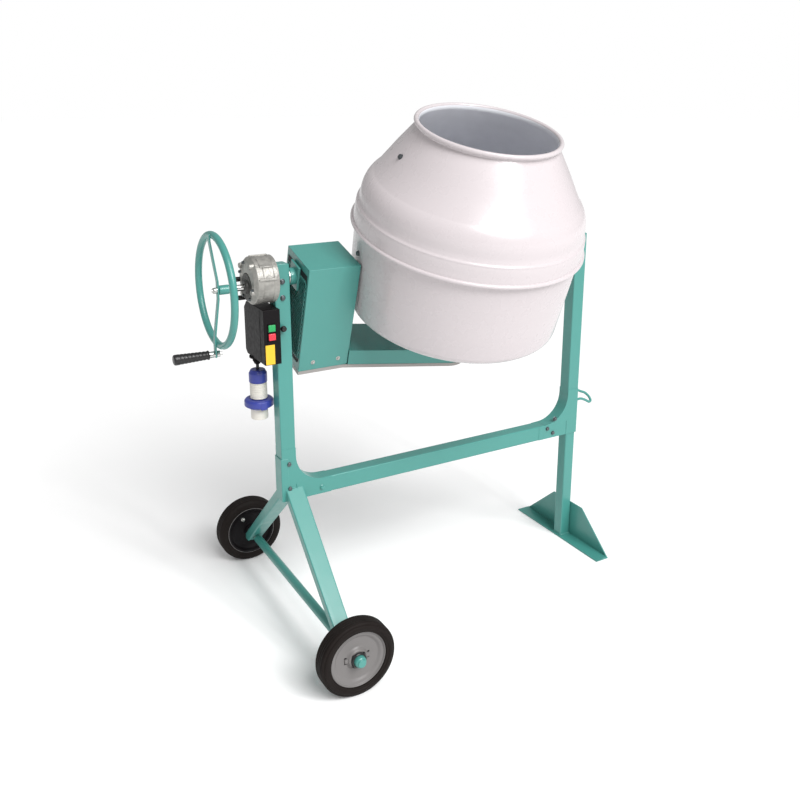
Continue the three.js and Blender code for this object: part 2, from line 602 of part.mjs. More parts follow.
// ---------------------------------------------------------------- yoke, in axes that lean with the drum
const ARM_ROOT_V = -3; // middle of the belt arm where it leaves the motor box
const armAngle = Math.atan2(DRUM_V - ARM_ROOT_V, DRUM_X - BOX_X1); // direction of the belt arm, box to drum
const yokeAngle = Math.asin(-DRUM_V / (YOKE_REACH - YOKE_T / 2)); // direction of the right arm, from the drum axis
const drumCentre = new THREE.Vector2(DRUM_X, DRUM_V);
const armDirection = new THREE.Vector2(Math.cos(armAngle), Math.sin(armAngle));
const centreDistance = ((DRUM_TEETH + DRUM_PINION_TEETH) * DRUM_MODULE) / 2;
const layshaft = drumCentre.clone().addScaledVector(armDirection, -centreDistance);
const motor = new THREE.Vector2(MOTOR_X, MOTOR_V);
const beltAngle = Math.atan2(motor.y - layshaft.y, motor.x - layshaft.x); // from layshaft to motor

// Plan of the belt arm: straight sides from the motor box to a round end about the drum axis.
function armPlan(inset, startX) {
  const radius = ARM_HALF - inset;
  const side = new THREE.Vector2(-armDirection.y, armDirection.x);
  const ends = [1, -1].map((sign) => {
    const end = drumCentre.clone().addScaledVector(side, sign * radius);
    const run = (end.x - startX) / armDirection.x;
    return end.addScaledVector(armDirection, -run);
  });
  const shape = new THREE.Shape();
  shape.moveTo(ends[0].x, ends[0].y);
  shape.lineTo(ends[1].x, ends[1].y);
  shape.absarc(DRUM_X, DRUM_V, radius, armAngle - Math.PI / 2, armAngle + Math.PI / 2, false);
  shape.closePath();
  return shape;
}

function motorBox() {
  const inner = box(BOX_X0 + BOX_SHEET, BOX_X1 - BOX_SHEET, BOX_V0 + BOX_SHEET, BOX_V1 - BOX_SHEET,
    BOX_T0 - 1, BOX_T1 - BOX_SHEET);
  const armWindow = box(BOX_X1 - 5, BOX_X1 + 5, BOX_V0 + 5, BOX_V1 - 5, BOX_T0 - 1, ARM_TOP - 3);
  const ventWindow = box(BOX_X0 - 5, BOX_X0 + 5, BOX_V0 + 15, BOX_V1 - 15, BOX_T0 + 20, -52);
  const shell = cut(box(BOX_X0, BOX_X1, BOX_V0, BOX_V1, BOX_T0, BOX_T1), inner, armWindow, ventWindow);
  return piece('motor_box', shell, FRAME_PAINT);
}

// Perforated panel behind the window in the box's outer side.
function ventPanel() {
  const x0 = BOX_X0 + BOX_SHEET + GAP;
  const sheet = box(x0, x0 + 1.5, BOX_V0 + 8, BOX_V1 - 8, BOX_T0 + 12, -44);
  const holes = [];
  for (let row = 0; row < 7; row += 1) {
    for (let column = 0; column < 4; column += 1) {
      const v = -36 + column * 23.3;
      const t = -214 + row * 24;
      holes.push(box(x0 - 1, x0 + 3, v - 7, v + 7, t - 7, t + 7));
    }
  }
  return piece('vent_panel', cut(sheet, ...holes), FRAME_PAINT);
}

function yokeCasing() {
  const bottom = BOX_T0;
  const start = BOX_X1 + GAP;
  const shell = cut(
    prism(armPlan(0, start), 'xy', bottom, ARM_TOP, 12),
    prism(armPlan(BOX_SHEET, start - 5), 'xy', bottom - 1, ARM_TOP - BOX_SHEET, 12),
    rod(SPINDLE_R + 4, ARM_TOP - 9, ARM_TOP + 9, 'z').translate(DRUM_X, DRUM_V, 0),
    rod(8 + RUN, ARM_TOP - 9, ARM_TOP + 9, 'z').translate(layshaft.x, layshaft.y, 0),
  );
  return piece('yoke_casing', shell, FRAME_PAINT);
}

// Pan under the motor box and the belt arm.
function bottomCover() {
  const top = BOX_T0 - GAP;
  const bottom = top - PAN_H;
  const inside = bottom + BOX_SHEET;
  const pan = join(
    box(BOX_X0, BOX_X1, BOX_V0, BOX_V1, bottom, top),
    prism(armPlan(0, BOX_X1 - 20), 'xy', bottom, top, 12),
  );
  const hollow = join(
    box(BOX_X0 + BOX_SHEET, BOX_X1 - BOX_SHEET, BOX_V0 + BOX_SHEET, BOX_V1 - BOX_SHEET, inside, top + 1),
    prism(armPlan(BOX_SHEET, BOX_X1 - 30), 'xy', inside, top + 1, 12),
  );
  return piece('bottom_cover', cut(pan, hollow), COVER_GREY);
}

function tiltBracket() {
  const x1 = BOX_X0 - GAP;
  const plate = box(x1 - 8, x1, -36, 36, -34, 38);
  const boss = rod(SHAFT_R + 9, LEFT_X + half + GAP + 3 + GAP, x1 - 7, 'x');
  const bore = rod(SHAFT_R + GAP, LEFT_X, x1 + 1, 'x');
  return piece('tilt_bracket', cut(join(plate, boss), bore), FRAME_PAINT);
}

function motorPlate() {
  const inset = BOX_SHEET + GAP;
  const plate = cut(
    box(BOX_X0 + 2 * inset, BOX_X1 - inset, BOX_V0 + inset, BOX_V1 - inset, ARM_TOP, ARM_TOP + 4),
    rod(20, ARM_TOP - 5, ARM_TOP + 9, 'z').translate(MOTOR_X, MOTOR_V, 0),
  );
  return piece('motor_plate', plate, STEEL);
}

function motorStator() {
  const bottom = ARM_TOP + 4 + GAP;
  const profile = [[11, bottom], [MOTOR_R - 6, bottom], [MOTOR_R - 6, bottom + 12], [MOTOR_R, bottom + 12],
    [MOTOR_R, bottom + 110], [MOTOR_R - 8, bottom + 128], [11, bottom + 128]];
  return piece('motor_stator', turned(profile, 'z', 28).translate(MOTOR_X, MOTOR_V, 0), CAST);
}

const beltT0 = ARM_TOP - 14;
const beltT1 = ARM_TOP - 5;
const gearT0 = ARM_TOP - 34;
const gearT1 = ARM_TOP - 20;

// Motor shaft with the small pulley.
function motorPulley() {
  const top = ARM_TOP + 4 + GAP + 134;
  const flange = MOTOR_PULLEY_R + 4;
  const profile = [[0, beltT0 - 2], [flange, beltT0 - 2], [flange, beltT0 - GAP], [MOTOR_PULLEY_R, beltT0 - GAP],
    [MOTOR_PULLEY_R, beltT1 + 2], [7, beltT1 + 2], [7, top], [0, top]];
  return piece('motor_pulley', turned(profile, 'z', 20).translate(MOTOR_X, MOTOR_V, 0), STEEL);
}

// Layshaft: driven pulley above, pinion below.
function layshaftPiece() {
  const away = armAngle + Math.PI / DRUM_PINION_TEETH;
  const teeth = toothedOutline(DRUM_PINION_TEETH, DRUM_MODULE, 0.9 * DRUM_MODULE, 1.25 * DRUM_MODULE,
    (Math.PI * DRUM_MODULE) / 2 - 0.2, away);
  const pinion = prism(teeth, 'xy', gearT0, gearT1);
  const profile = [[0, gearT0 - 4], [7, gearT0 - 4], [7, gearT1 + 2], [DRIVEN_PULLEY_R, gearT1 + 2],
    [DRIVEN_PULLEY_R, beltT1], [8, beltT1], [8, ARM_TOP + 3], [0, ARM_TOP + 3]];
  const whole = join(pinion, turned(profile, 'z', 32));
  return piece('layshaft', whole.translate(layshaft.x, layshaft.y, 0), STEEL);
}

// Flat loop round both pulleys.
function driveBelt() {
  const span = motor.distanceTo(layshaft);
  const loop = (offset, shape) => {
    const small = MOTOR_PULLEY_R + GAP + offset;
    const large = DRIVEN_PULLEY_R + GAP + offset;
    const open = Math.acos((large - small) / span);
    shape.absarc(layshaft.x, layshaft.y, large, beltAngle + open, beltAngle - open, false);
    shape.absarc(motor.x, motor.y, small, beltAngle - open, beltAngle + open, false);
    shape.closePath();
    return shape;
  };
  const shape = loop(BELT_T, new THREE.Shape());
  shape.holes.push(loop(0, new THREE.Path()));
  return piece('drive_belt', prism(shape, 'xy', beltT0, beltT1, 12), RUBBER);
}

function spindleHousing() {
  const profile = [[SPINDLE_R + RUN, ARM_TOP + GAP], [62, ARM_TOP + GAP], [62, ARM_TOP + 9], [40, ARM_TOP + 11],
    [36, ARM_TOP + 36], [SPINDLE_R + RUN, ARM_TOP + 36]];
  return piece('spindle_housing', turned(profile, 'z', 24).translate(DRUM_X, DRUM_V, 0), CAST);
}

// Right arm of the yoke: out under the drum, then up beside it to the trunnion; it starts against the casing.
function yokeArm() {
  const bottom = BOX_T0 + 2;
  const end = 26;
  const outline = (inset) => {
    const outer = YOKE_REACH + YOKE_T / 2 - inset;
    const inner = YOKE_REACH - YOKE_T / 2 + inset;
    const low = bottom + inset;
    const high = bottom + YOKE_T - inset;
    const start = ARM_HALF - 20 - inset * 2;
    const shape = new THREE.Shape();
    shape.moveTo(start, low);
    shape.lineTo(outer - YOKE_BEND, low);
    shape.absarc(outer - YOKE_BEND, low + YOKE_BEND, YOKE_BEND, 1.5 * Math.PI, 2 * Math.PI, false);
    shape.lineTo(outer, end - inset);
    shape.lineTo(inner, end - inset);
    const bend = YOKE_BEND - (outer - inner);
    shape.lineTo(inner, high + bend);
    shape.absarc(inner - bend, high + bend, bend, 2 * Math.PI, 1.5 * Math.PI, true);
    shape.lineTo(start, high);
    shape.closePath();
    return shape;
  };
  const wide = YOKE_W / 2;
  const tube = cut(
    prism(outline(0), 'xz', -wide, wide),
    prism(outline(YOKE_WALL), 'xz', -wide + YOKE_WALL, wide - YOKE_WALL),
    rod(ARM_HALF + GAP, bottom - 20, bottom + 60, 'z', 48),
  );
  tube.rotateZ(yokeAngle).translate(DRUM_X, DRUM_V, 0);
  const bore = rod(SHAFT_R + GAP, DRUM_X, RIGHT_X, 'x');
  return piece('yoke_arm', cut(tube, bore), FRAME_PAINT);
}

// Trunnion through the right arm and the right post's bush.
function trunnionPin() {
  const armX = DRUM_X + (YOKE_REACH - YOKE_T / 2) * Math.cos(yokeAngle);
  const x0 = armX - 8;
  const x1 = RIGHT_X + half + 6;
  return piece('trunnion_pin', rod(SHAFT_R, x0, x1, 'x'), STEEL);
}

// ---------------------------------------------------------------- drum, about its own axis
const aboutDrum = (geometry) => geometry.translate(DRUM_X, DRUM_V, 0);

function drumGear() {
  const teeth = toothedOutline(DRUM_TEETH, DRUM_MODULE, 0.9 * DRUM_MODULE, 1.25 * DRUM_MODULE,
    (Math.PI * DRUM_MODULE) / 2 - 0.2, armAngle + Math.PI, false);
  const wheel = prism(teeth, 'xy', gearT0, gearT1);
  const bore = rod(SPINDLE_R + GAP, gearT0 - 5, gearT1 + 5, 'z', 32);
  return piece('drum_gear', aboutDrum(cut(wheel, bore)), STEEL);
}

function drumSpindle() {
  const flangeTop = BOWL_BOTTOM - GAP;
  const profile = [[0, gearT0 - 4], [SPINDLE_R, gearT0 - 4], [SPINDLE_R, ARM_TOP + 37], [30, ARM_TOP + 37],
    [30, flangeTop - 8], [84, flangeTop - 6], [84, flangeTop], [0, flangeTop]];
  return piece('drum_spindle', aboutDrum(turned(profile, 'z', 28)), STEEL);
}

// Lower shell: a flat bottom, a rounded corner and a slightly flaring wall that ends inside the seam band.
function drumBowl() {
  const steps = 5;
  const wallTop = SEAM_T + SEAM_H - 8;
  const side = (inset) => {
    const points = [[0, BOWL_BOTTOM + inset]];
    for (let step = 0; step <= steps; step += 1) {
      const angle = (step / steps) * (Math.PI / 2);
      points.push([
        BOWL_FOOT_R - CORNER_W + (CORNER_W - inset) * Math.sin(angle),
        BOWL_BOTTOM + CORNER_H - (CORNER_H - inset) * Math.cos(angle),
      ]);
    }
    points.push([BOWL_R - inset, SEAM_T], [BOWL_R - inset, wallTop]);
    return points;
  };
  return piece('drum_bowl', aboutDrum(turned([...side(0), ...side(SHEET).reverse()], 'z', 44)), DRUM_PAINT);
}

// Upper shell: seam flange, overlap band, skirt, shoulder, cone and the rolled bead at the mouth.
function drumCone() {
  const bandR = BOWL_R + GAP;
  const bandTop = SEAM_T + SEAM_H;
  const neckR = MOUTH_R - BEAD_R - SHEET;
  const neckT = MOUTH_T - BEAD_R - 5;
  const shoulder = new THREE.QuadraticBezierCurve(
    new THREE.Vector2(CONE_FOOT_R, bandTop + 32),
    new THREE.Vector2(CONE_FOOT_R - 4, bandTop + 62),
    new THREE.Vector2(SHOULDER_R, bandTop + 84),
  ).getPoints(4).map((point) => [point.x, point.y]);
  const outside = [[SEAM_R, SEAM_T], [SEAM_R, SEAM_T + 4], [bandR + SHEET + 1.5, SEAM_T + 8],
    [bandR + SHEET, bandTop - 2], [CONE_FOOT_R + SHEET, bandTop + 4], ...shoulder, [neckR, neckT]];
  const beadCentre = [MOUTH_R - BEAD_R, MOUTH_T];
  const bead = [];
  for (let step = 0; step <= 6; step += 1) {
    const angle = -1.9 + (step / 6) * 4.6;
    bead.push([beadCentre[0] + BEAD_R * Math.cos(angle), beadCentre[1] + BEAD_R * Math.sin(angle)]);
  }
  const inside = [[bandR, SEAM_T], [bandR, bandTop - 4], [CONE_FOOT_R - SHEET + 2, bandTop + 3],
    ...shoulder.map(([radius, along]) => [radius - SHEET, along - 1]), [neckR - SHEET, neckT]].reverse();
  return piece('drum_cone', aboutDrum(turned([...outside, ...bead, ...inside], 'z', 44)), DRUM_PAINT);
}

// Radius of the drum's inner face at a height along its axis.
function drumInside(t) {
  const heights = [BOWL_BOTTOM + CORNER_H, SEAM_T, SEAM_T + SEAM_H + 24, SEAM_T + SEAM_H + 84, MOUTH_T - BEAD_R - 5];
  const radii = [BOWL_FOOT_R, BOWL_R, CONE_FOOT_R, SHOULDER_R, MOUTH_R - BEAD_R - SHEET];
  const k = Math.min(Math.max(heights.findIndex((height) => height > t), 1), heights.length - 1);
  const share = (t - heights[k - 1]) / (heights[k] - heights[k - 1]);
  return THREE.MathUtils.lerp(radii[k - 1], radii[k], share) - SHEET;
}

// A mixing blade: a plate that follows the wall inside, held off it by two studs.
function mixingBlade(name, turn) {
  const line = [[BOWL_BOTTOM + 72, 46], [SEAM_T - 52, 58], [SEAM_T + 58, 58], [SEAM_T + 128, 52], [MOUTH_T - 66, 40]];
  const outer = line.map(([t]) => [drumInside(t) - BLADE_STAND_OFF, t]);
  const inner = line.map(([t, depth]) => [drumInside(t) - BLADE_STAND_OFF - depth, t - depth / 5]).reverse();
  const plate = prism([...outer, ...inner], 'xz', -BLADE_T / 2, BLADE_T / 2);
  const studs = [SEAM_T - 62, MOUTH_T - 78].map((t) => {
    const end = Math.min(drumInside(t - 5), drumInside(t + 5)) * Math.cos(Math.PI / 44) - GAP;
    return rod(5, drumInside(t) - BLADE_STAND_OFF - 20, end, 'x').translate(0, 0, t);
  });
  return piece(name, aboutDrum(join(plate, ...studs).rotateZ(turn)), DRUM_PAINT);
}

// ---------------------------------------------------------------- wheels
function wheel(prefix, side) {
  const middle = WHEEL_FACE - WHEEL_W / 2;
  const place = (profile, segments) =>
    turned(profile.map(([radius, along]) => [radius, side * (middle + along)]), 'y', segments)
      .translate(LEG_X, 0, WHEEL_R);
  const seat = WHEEL_R - 25;
  const edge = WHEEL_W / 2;
  const tyre = [[seat, -edge + 3], [seat + 8, -edge], [WHEEL_R - 6, -edge + 1], [WHEEL_R - 1, -edge + 6],
    [WHEEL_R, -edge + 14], [WHEEL_R, edge - 14], [WHEEL_R - 1, edge - 6], [WHEEL_R - 6, edge - 1],
    [seat + 8, edge], [seat, edge - 3]];
  const rimR = seat * Math.cos(Math.PI / TYRE_FACETS) - RIM_FIT;
  const hub = AXLE_R + RUN;
  const rim = [[hub, -23], [AXLE_R + 7, -23], [AXLE_R + 7, 6], [30, 10], [rimR - 14, 10], [rimR - 8, 3],
    [rimR - 8, -20], [rimR, -20], [rimR, 19], [rimR - 5, 19], [rimR - 9, 14.5], [28, 14.5], [18, 17], [hub, 17]];
  const cap = [[0, edge + 14], [11, edge + 14], [AXLE_R + 7, edge + 10], [AXLE_R + 7, 17 + GAP],
    [AXLE_R + RUN, 17 + GAP], [AXLE_R + RUN, edge - 2], [0, edge - 2]];
  return [
    piece(`${prefix}_tyre`, place(tyre, TYRE_FACETS), RUBBER),
    piece(`${prefix}_rim`, place(rim, 28), RIM_GREY),
    piece(`${prefix}_cap`, place(cap, 20), FRAME_PAINT),
  ];
}

// ---------------------------------------------------------------- assembly
const boreRadius = SHAFT_R + 3 + GAP;

const stand = new THREE.Group();
stand.add(
  post('left_post', LEFT_X, BEAM_Z, boreRadius), post('right_post', RIGHT_X, BEAM_Z, boreRadius), crossBeam(),
  gusset('left_gusset', LEFT_X, LEFT_GUSSET, 1), gusset('right_gusset', RIGHT_X, RIGHT_GUSSET, -1),
  rightLeg(), footPlate(), splayedLeg('front_leg', -1), splayedLeg('rear_leg', 1), axle(), axleSleeve(),
  towLoop(), leftBush(), rightBush(),
);

const tiltDrive = new THREE.Group();
tiltDrive.add(
  gearHousing(), ringGear(), tiltShaft(), pinionShaft(), handwheel(), handwheelHub(), gripBolt(), crankGrip(),
);

const electrics = new THREE.Group();
electrics.add(
  switchBox(), button('start_button', START_Z, GREEN_BUTTON), button('stop_button', STOP_Z, RED_BUTTON),
  cableGland(), mainsLead(), ...plugPieces(), lockKnob(),
);

const yoke = new THREE.Group();
yoke.position.z = TILT_Z;
yoke.rotation.x = LEAN;
yoke.add(
  motorBox(), ventPanel(), yokeCasing(), bottomCover(), tiltBracket(), motorPlate(), motorStator(),
  motorPulley(), layshaftPiece(), driveBelt(), spindleHousing(), yokeArm(), trunnionPin(),
  drumGear(), drumSpindle(), drumBowl(), drumCone(),
  mixingBlade('mixing_blade_1', BLADE_TURN), mixingBlade('mixing_blade_2', BLADE_TURN + Math.PI),
);

const mixer = new THREE.Group();
mixer.add(stand, tiltDrive, electrics, yoke, ...wheel('front', -1), ...wheel('rear', 1));

export default mixer;
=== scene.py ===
"""Concrete mixer on a wheeled stand, dressed in Blender on the frame of its CAD model.

Each operator makes one piece or one group of like pieces. Lengths in the tables are millimetres.
"""

import math

import bmesh
import bpy
from bpy.props import FloatProperty, FloatVectorProperty, IntProperty, PointerProperty
from mathutils import Matrix, Vector


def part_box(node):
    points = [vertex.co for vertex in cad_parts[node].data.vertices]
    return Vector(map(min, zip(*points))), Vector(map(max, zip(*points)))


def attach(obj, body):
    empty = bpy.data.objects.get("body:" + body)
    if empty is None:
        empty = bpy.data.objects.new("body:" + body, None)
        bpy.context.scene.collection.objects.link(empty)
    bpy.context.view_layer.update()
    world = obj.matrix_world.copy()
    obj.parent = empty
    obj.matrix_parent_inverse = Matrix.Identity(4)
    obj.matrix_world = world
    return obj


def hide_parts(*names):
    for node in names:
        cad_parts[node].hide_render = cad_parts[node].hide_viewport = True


bl_info = {
    "name": "Concrete Mixer",
    "version": (1, 0, 0),
    "blender": (4, 5, 0),
    "location": "View3D > Sidebar > Mixer",
    "description": "Builds the pieces and finishes of a concrete mixer",
    "category": "Object",
}

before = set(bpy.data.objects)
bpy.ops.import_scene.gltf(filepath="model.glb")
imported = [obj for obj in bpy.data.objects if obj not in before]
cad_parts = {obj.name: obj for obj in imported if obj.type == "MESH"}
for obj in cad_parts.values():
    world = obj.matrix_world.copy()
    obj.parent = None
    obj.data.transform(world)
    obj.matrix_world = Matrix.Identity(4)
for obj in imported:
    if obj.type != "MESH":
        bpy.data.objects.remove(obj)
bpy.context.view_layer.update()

MM = 0.001
TILT_Z = 955  # height of the tilting axis
LEAN = math.radians(18)  # lean of the drum from upright
DRUM_X = 105  # drum axis in the yoke's axes
DRUM_V = -77
PLUG_X = -425  # cable gland, lead and plug hang on one line
PLUG_Y = 50
PINION_Z = 940  # handwheel axis
GRIP_Z = 783  # crank grip axis
WHEEL_X = -363
WHEEL_Z = 98
CAMERA_PLACE = Vector((-1.1654, -1.9911, 1.4111))
CAMERA_TURN = math.radians(-29.62)
CAMERA_RISE = math.radians(15.57)
CAMERA_LENS = 39.465
CAMERA_SHIFT = -0.0875
AIR_LIGHT = 0.42  # brightness of the surroundings where they light the machine
AIR_SEEN = 1.0  # and where the camera sees them
DAYLIGHT = 2.85
WINDOW_POWER = 14
FLOOR_RADIUS = 40000
LEG_SLOPE = 1.067  # run of a splayed leg for its drop
SHEET = 2.5  # wall of the drum
SHARP = 32  # degrees past which an edge is drawn crisp or rounded

ALONG_X = Matrix.Rotation(math.radians(90), 4, "Y")
ALONG_Y = Matrix.Rotation(math.radians(-90), 4, "X")
YOKE = Matrix.Translation((0, 0, TILT_Z)) @ Matrix.Rotation(LEAN, 4, "X")
DRUM = YOKE @ Matrix.Translation((DRUM_X, DRUM_V, 0))


def linear(hex_colour):
    """Scene-linear red, green and blue of an sRGB hex colour."""
    channels = [int(hex_colour[k:k + 2], 16) / 255 for k in (0, 2, 4)]
    return tuple(c / 12.92 if c <= 0.04045 else ((c + 0.055) / 1.055) ** 2.4 for c in channels)


# ---------------------------------------------------------------- sizes and colours a user may change
def size_property(name, description, millimetres):
    return FloatProperty(name=name, description=description, default=millimetres * MM, min=0.0,
                         unit="LENGTH", subtype="DISTANCE", precision=5)


def colour_property(name, description, hex_colour):
    return FloatVectorProperty(name=name, description=description, default=linear(hex_colour), size=3,
                               min=0.0, max=1.0, subtype="COLOR")


class MixerSizes(bpy.types.PropertyGroup):
    tube_corner: size_property("Tube corner", "Outer corner radius of the square tubes", 3.2)
    sheet_fold: size_property("Sheet fold", "Outer radius of the folds in the motor box", 3.0)
    weld_radius: size_property("Weld bead", "Radius of a weld bead", 2.6)
    weld_ripple: size_property("Weld ripple", "Distance between the ripples of a weld bead", 2.4)
    bolt_head: size_property("Bolt head", "Radius of the frame's bolt heads over the corners", 5.6)
    vent_pitch: size_property("Vent mesh pitch", "Length of one diamond of the vent mesh", 13.0)
    vent_strand: size_property("Vent mesh strand", "Width of a strand of the vent mesh", 1.7)
    drum_segments: IntProperty(name="Drum segments", description="Facets round the drum", default=160, min=24)


class MixerColours(bpy.types.PropertyGroup):
    frame_paint: colour_property("Frame paint", "Powder coat of the stand, yoke and handwheel", "458D85")
    drum_paint: colour_property("Drum paint", "Enamel on the outside of the drum", "C9C1C3")
    drum_inside: colour_property("Drum inside", "Primer on the inside of the drum", "E8E9EE")
    cover: colour_property("Cover", "Powder coat of the cover under the motor", "9C9794")
    rim: colour_property("Rim", "Wheel rims", "716E6D")
    plug: colour_property("Plug", "Plug nut and flange", "353F92")
    plug_pale: colour_property("Plug body", "Plug body and shroud", "DAD6CD")


# ---------------------------------------------------------------- materials
def add_node(tree, kind, inputs=None, **settings):
    """Adds a node with its settings; an input takes a value or another node's socket."""
    node = tree.nodes.new(kind)
    for name, value in settings.items():
        setattr(node, name, value)
    for key, value in (inputs or {}).items():
        if isinstance(value, bpy.types.NodeSocket):
            tree.links.new(value, node.inputs[key])
        else:
            node.inputs[key].default_value = value
    return node


def per(millimetres):
    """Pattern scale that repeats about every so many millimetres."""
    return 1000 / millimetres


def rgba(colour, gain=1.0):
    return (*(min(1.0, channel * gain) for channel in colour), 1.0)


def surface(name, colour, roughness, patch=60, shift=0.06, grain=1.2, depth=0.05, spread=0.06, fine=0.0,
            **shader_values):
    """A material with colour patches, uneven gloss and a raised grain.

    patch and grain are pattern sizes and depth the grain's height, in millimetres; shift is how far the
    patches go from the colour and spread how far the roughness goes; fine adds a second, sharper grain.
    """
    material = bpy.data.materials.new(name)
    material.use_nodes = True
    material.diffuse_color = rgba(colour)
    tree = material.node_tree
    shader = tree.nodes["Principled BSDF"]
    for key, value in shader_values.items():
        shader.inputs[key.replace("_", " ")].default_value = value
    here = add_node(tree, "ShaderNodeTexCoord").outputs["Object"]
    patches = add_node(tree, "ShaderNodeTexNoise",
                       {"Vector": here, "Scale": per(patch), "Detail": 5.0, "Roughness": 0.6})
    tone = add_node(tree, "ShaderNodeMix",
                    {0: patches.outputs[0], 6: rgba(colour, 1 - shift), 7: rgba(colour, 1 + shift)},
                    data_type="RGBA")
    tree.links.new(tone.outputs[2], shader.inputs["Base Color"])
    gloss = add_node(tree, "ShaderNodeTexNoise", {"Vector": here, "Scale": per(patch / 4), "Detail": 3.0})
    uneven = add_node(tree, "ShaderNodeMapRange",
                      {0: gloss.outputs[0], 1: 0.3, 2: 0.7, 3: roughness - spread, 4: roughness + spread})
    tree.links.new(uneven.outputs[0], shader.inputs["Roughness"])
    bumps = add_node(tree, "ShaderNodeTexNoise", {"Vector": here, "Scale": per(grain), "Detail": 0.0})
    height = bumps.outputs[0]
    if fine:
        pits = add_node(tree, "ShaderNodeTexVoronoi", {"Vector": here, "Scale": per(grain * 1.7)})
        both = add_node(tree, "ShaderNodeMath", {0: pits.outputs[0], 1: fine, 2: height}, operation="MULTIPLY_ADD")
        height = both.outputs[0]
    relief = add_node(tree, "ShaderNodeBump", {"Height": height, "Distance": depth * MM, "Strength": 1.0})
    tree.links.new(relief.outputs[0], shader.inputs["Normal"])
    return material


def make_materials(colours):
    """Every finish on the machine, by the name that the pieces use."""
    return {
        # Polyester powder coat on steel, sprayed and baked: an even satin skin with a faint orange peel.
        "paint": surface("Powder coat, sprayed and baked", colours.frame_paint, 0.36, patch=90, shift=0.045,
                         grain=3.0, depth=0.02, Coat_Weight=0.25, Coat_Roughness=0.18),
        # Alkyd enamel sprayed on a spun drum: bright and glossy, with slow waves in the reflections.
        "drum": surface("Enamel, sprayed on spun steel", colours.drum_paint, 0.28, patch=160, shift=0.02,
                        grain=70.0, depth=0.05, spread=0.03, Coat_Weight=0.3, Coat_Roughness=0.1),
        # Zinc phosphate primer inside the drum: flat grey, scuffed by the load and a little patchy.
        "drum_inside": surface("Primer, sprayed inside the drum", colours.drum_inside, 0.5, patch=45, shift=0.10,
                               grain=5.0, depth=0.12),
        # Epoxy powder coat on a folded pan: pale and almost matt.
        "cover": surface("Powder coat, on a folded pan", colours.cover, 0.42, patch=70, shift=0.04, grain=2.5,
                         depth=0.02),
        # Die-cast aluminium, shot blasted: mottled grey with a pebbled skin.
        "aluminium": surface("Die-cast aluminium, shot blasted", linear("9C9A95"), 0.46, patch=16, shift=0.55,
                             grain=4.5, depth=0.5, fine=0.7, Metallic=0.55),
        # The same casting with painted shade: a darker copy of the aluminium for the outer face, which lies in shade.
        "aluminium_painted_shade": surface("Die-cast aluminium, painted shade", linear("4C4B49"), 0.48, patch=9, shift=0.45,
                                  grain=2.0, depth=0.30, fine=0.6, Metallic=0.65),
        # Zinc-plated mild steel, rolled and barrel plated: cool and softly bright.
        "zinc": surface("Zinc-plated steel, barrel plated", linear("B9B8B4"), 0.33, patch=5, shift=0.12, grain=0.8,
                        depth=0.01, Metallic=1.0),
        # Phosphated bolt steel, pressed: dark with a low sheen.
        "bolt": surface("Phosphated steel, cold headed", linear("5F6467"), 0.42, patch=4, shift=0.2, grain=0.8,
                        depth=0.02, Metallic=0.8),
        # Chromium on turned steel: a clear mirror with fine turning marks.
        "chrome": surface("Chromium-plated steel, turned", linear("D2D2D0"), 0.12, patch=6, shift=0.05, grain=0.6,
                          depth=0.004, spread=0.03, Metallic=1.0),
        # Solid rubber tyre, compression moulded: near black, dull, with a dusty bloom.
        "tyre": surface("Rubber, compression moulded", linear("1B1614"), 0.6, patch=22, shift=0.28, grain=1.4,
                        depth=0.06, Specular_IOR_Level=0.12),
        # Flat drive belt, extruded rubber: matt black.
        "belt": surface("Rubber belt, extruded", linear("1C1B1B"), 0.8, patch=10, shift=0.2, grain=0.8, depth=0.05),
        # Polypropylene rim, injection moulded: soft grey with a satin skin.
        "rim": surface("Polypropylene, injection moulded", colours.rim, 0.44, patch=30, shift=0.05, grain=1.0,
                       depth=0.02),
        # ABS switch box, injection moulded: black with a fine spark-eroded texture.
        "abs": surface("ABS, injection moulded", linear("110E10"), 0.5, patch=35, shift=0.12, grain=0.9,
                       depth=0.03, fine=0.4, Specular_IOR_Level=0.15),
        # PVC crank grip, dip moulded: black and slightly glossy.
        "grip": surface("PVC grip, dip moulded", linear("1B1A1B"), 0.34, patch=18, shift=0.15, grain=1.5, depth=0.04),
        # PVC sheath of the lead, extruded: black with a soft shine.
        "sheath": surface("PVC sheath, extruded", linear("1E1D1F"), 0.45, patch=12, shift=0.12, grain=0.8, depth=0.02),
        # Polyamide plug parts, injection moulded: saturated blue, satin.
        "plug": surface("Polyamide, injection moulded, blue", colours.plug, 0.34, patch=20, shift=0.05, grain=0.9,
                        depth=0.015),
        # Polyamide plug body, injection moulded: warm pale grey, satin.
        "plug_pale": surface("Polyamide, injection moulded, pale", colours.plug_pale, 0.38, patch=20, shift=0.03,
                             grain=0.9, depth=0.015),
        # Polycarbonate push buttons, injection moulded: clear strong colours with a gloss.
        "green": surface("Polycarbonate, green", linear("1E9A55"), 0.25, patch=12, shift=0.04, grain=1, depth=0.005),
        "red": surface("Polycarbonate, red", linear("DE2F40"), 0.25, patch=12, shift=0.04, grain=1, depth=0.005),
        # Vinyl film label, cast: flat warm yellow, left blank.
        "label": surface("Vinyl film, cast", linear("E9B92B"), 0.4, patch=14, shift=0.05, grain=1.2, depth=0.01),
        # Painted shade: near black, for the shade behind the vent mesh; it also draws the dark seam line of the switch
        # box.
        "dark": surface("Painted shade and seam, near black", linear("1A1B1C"), 0.7, patch=20, shift=0.2, grain=1.5, depth=0.03),
        # Painted board floor, rolled: plain and pale.
        "floor": surface("Painted floor, rolled", linear("FDFDFD"), 0.85, patch=900, shift=0.004, grain=6, depth=0.02),
    }


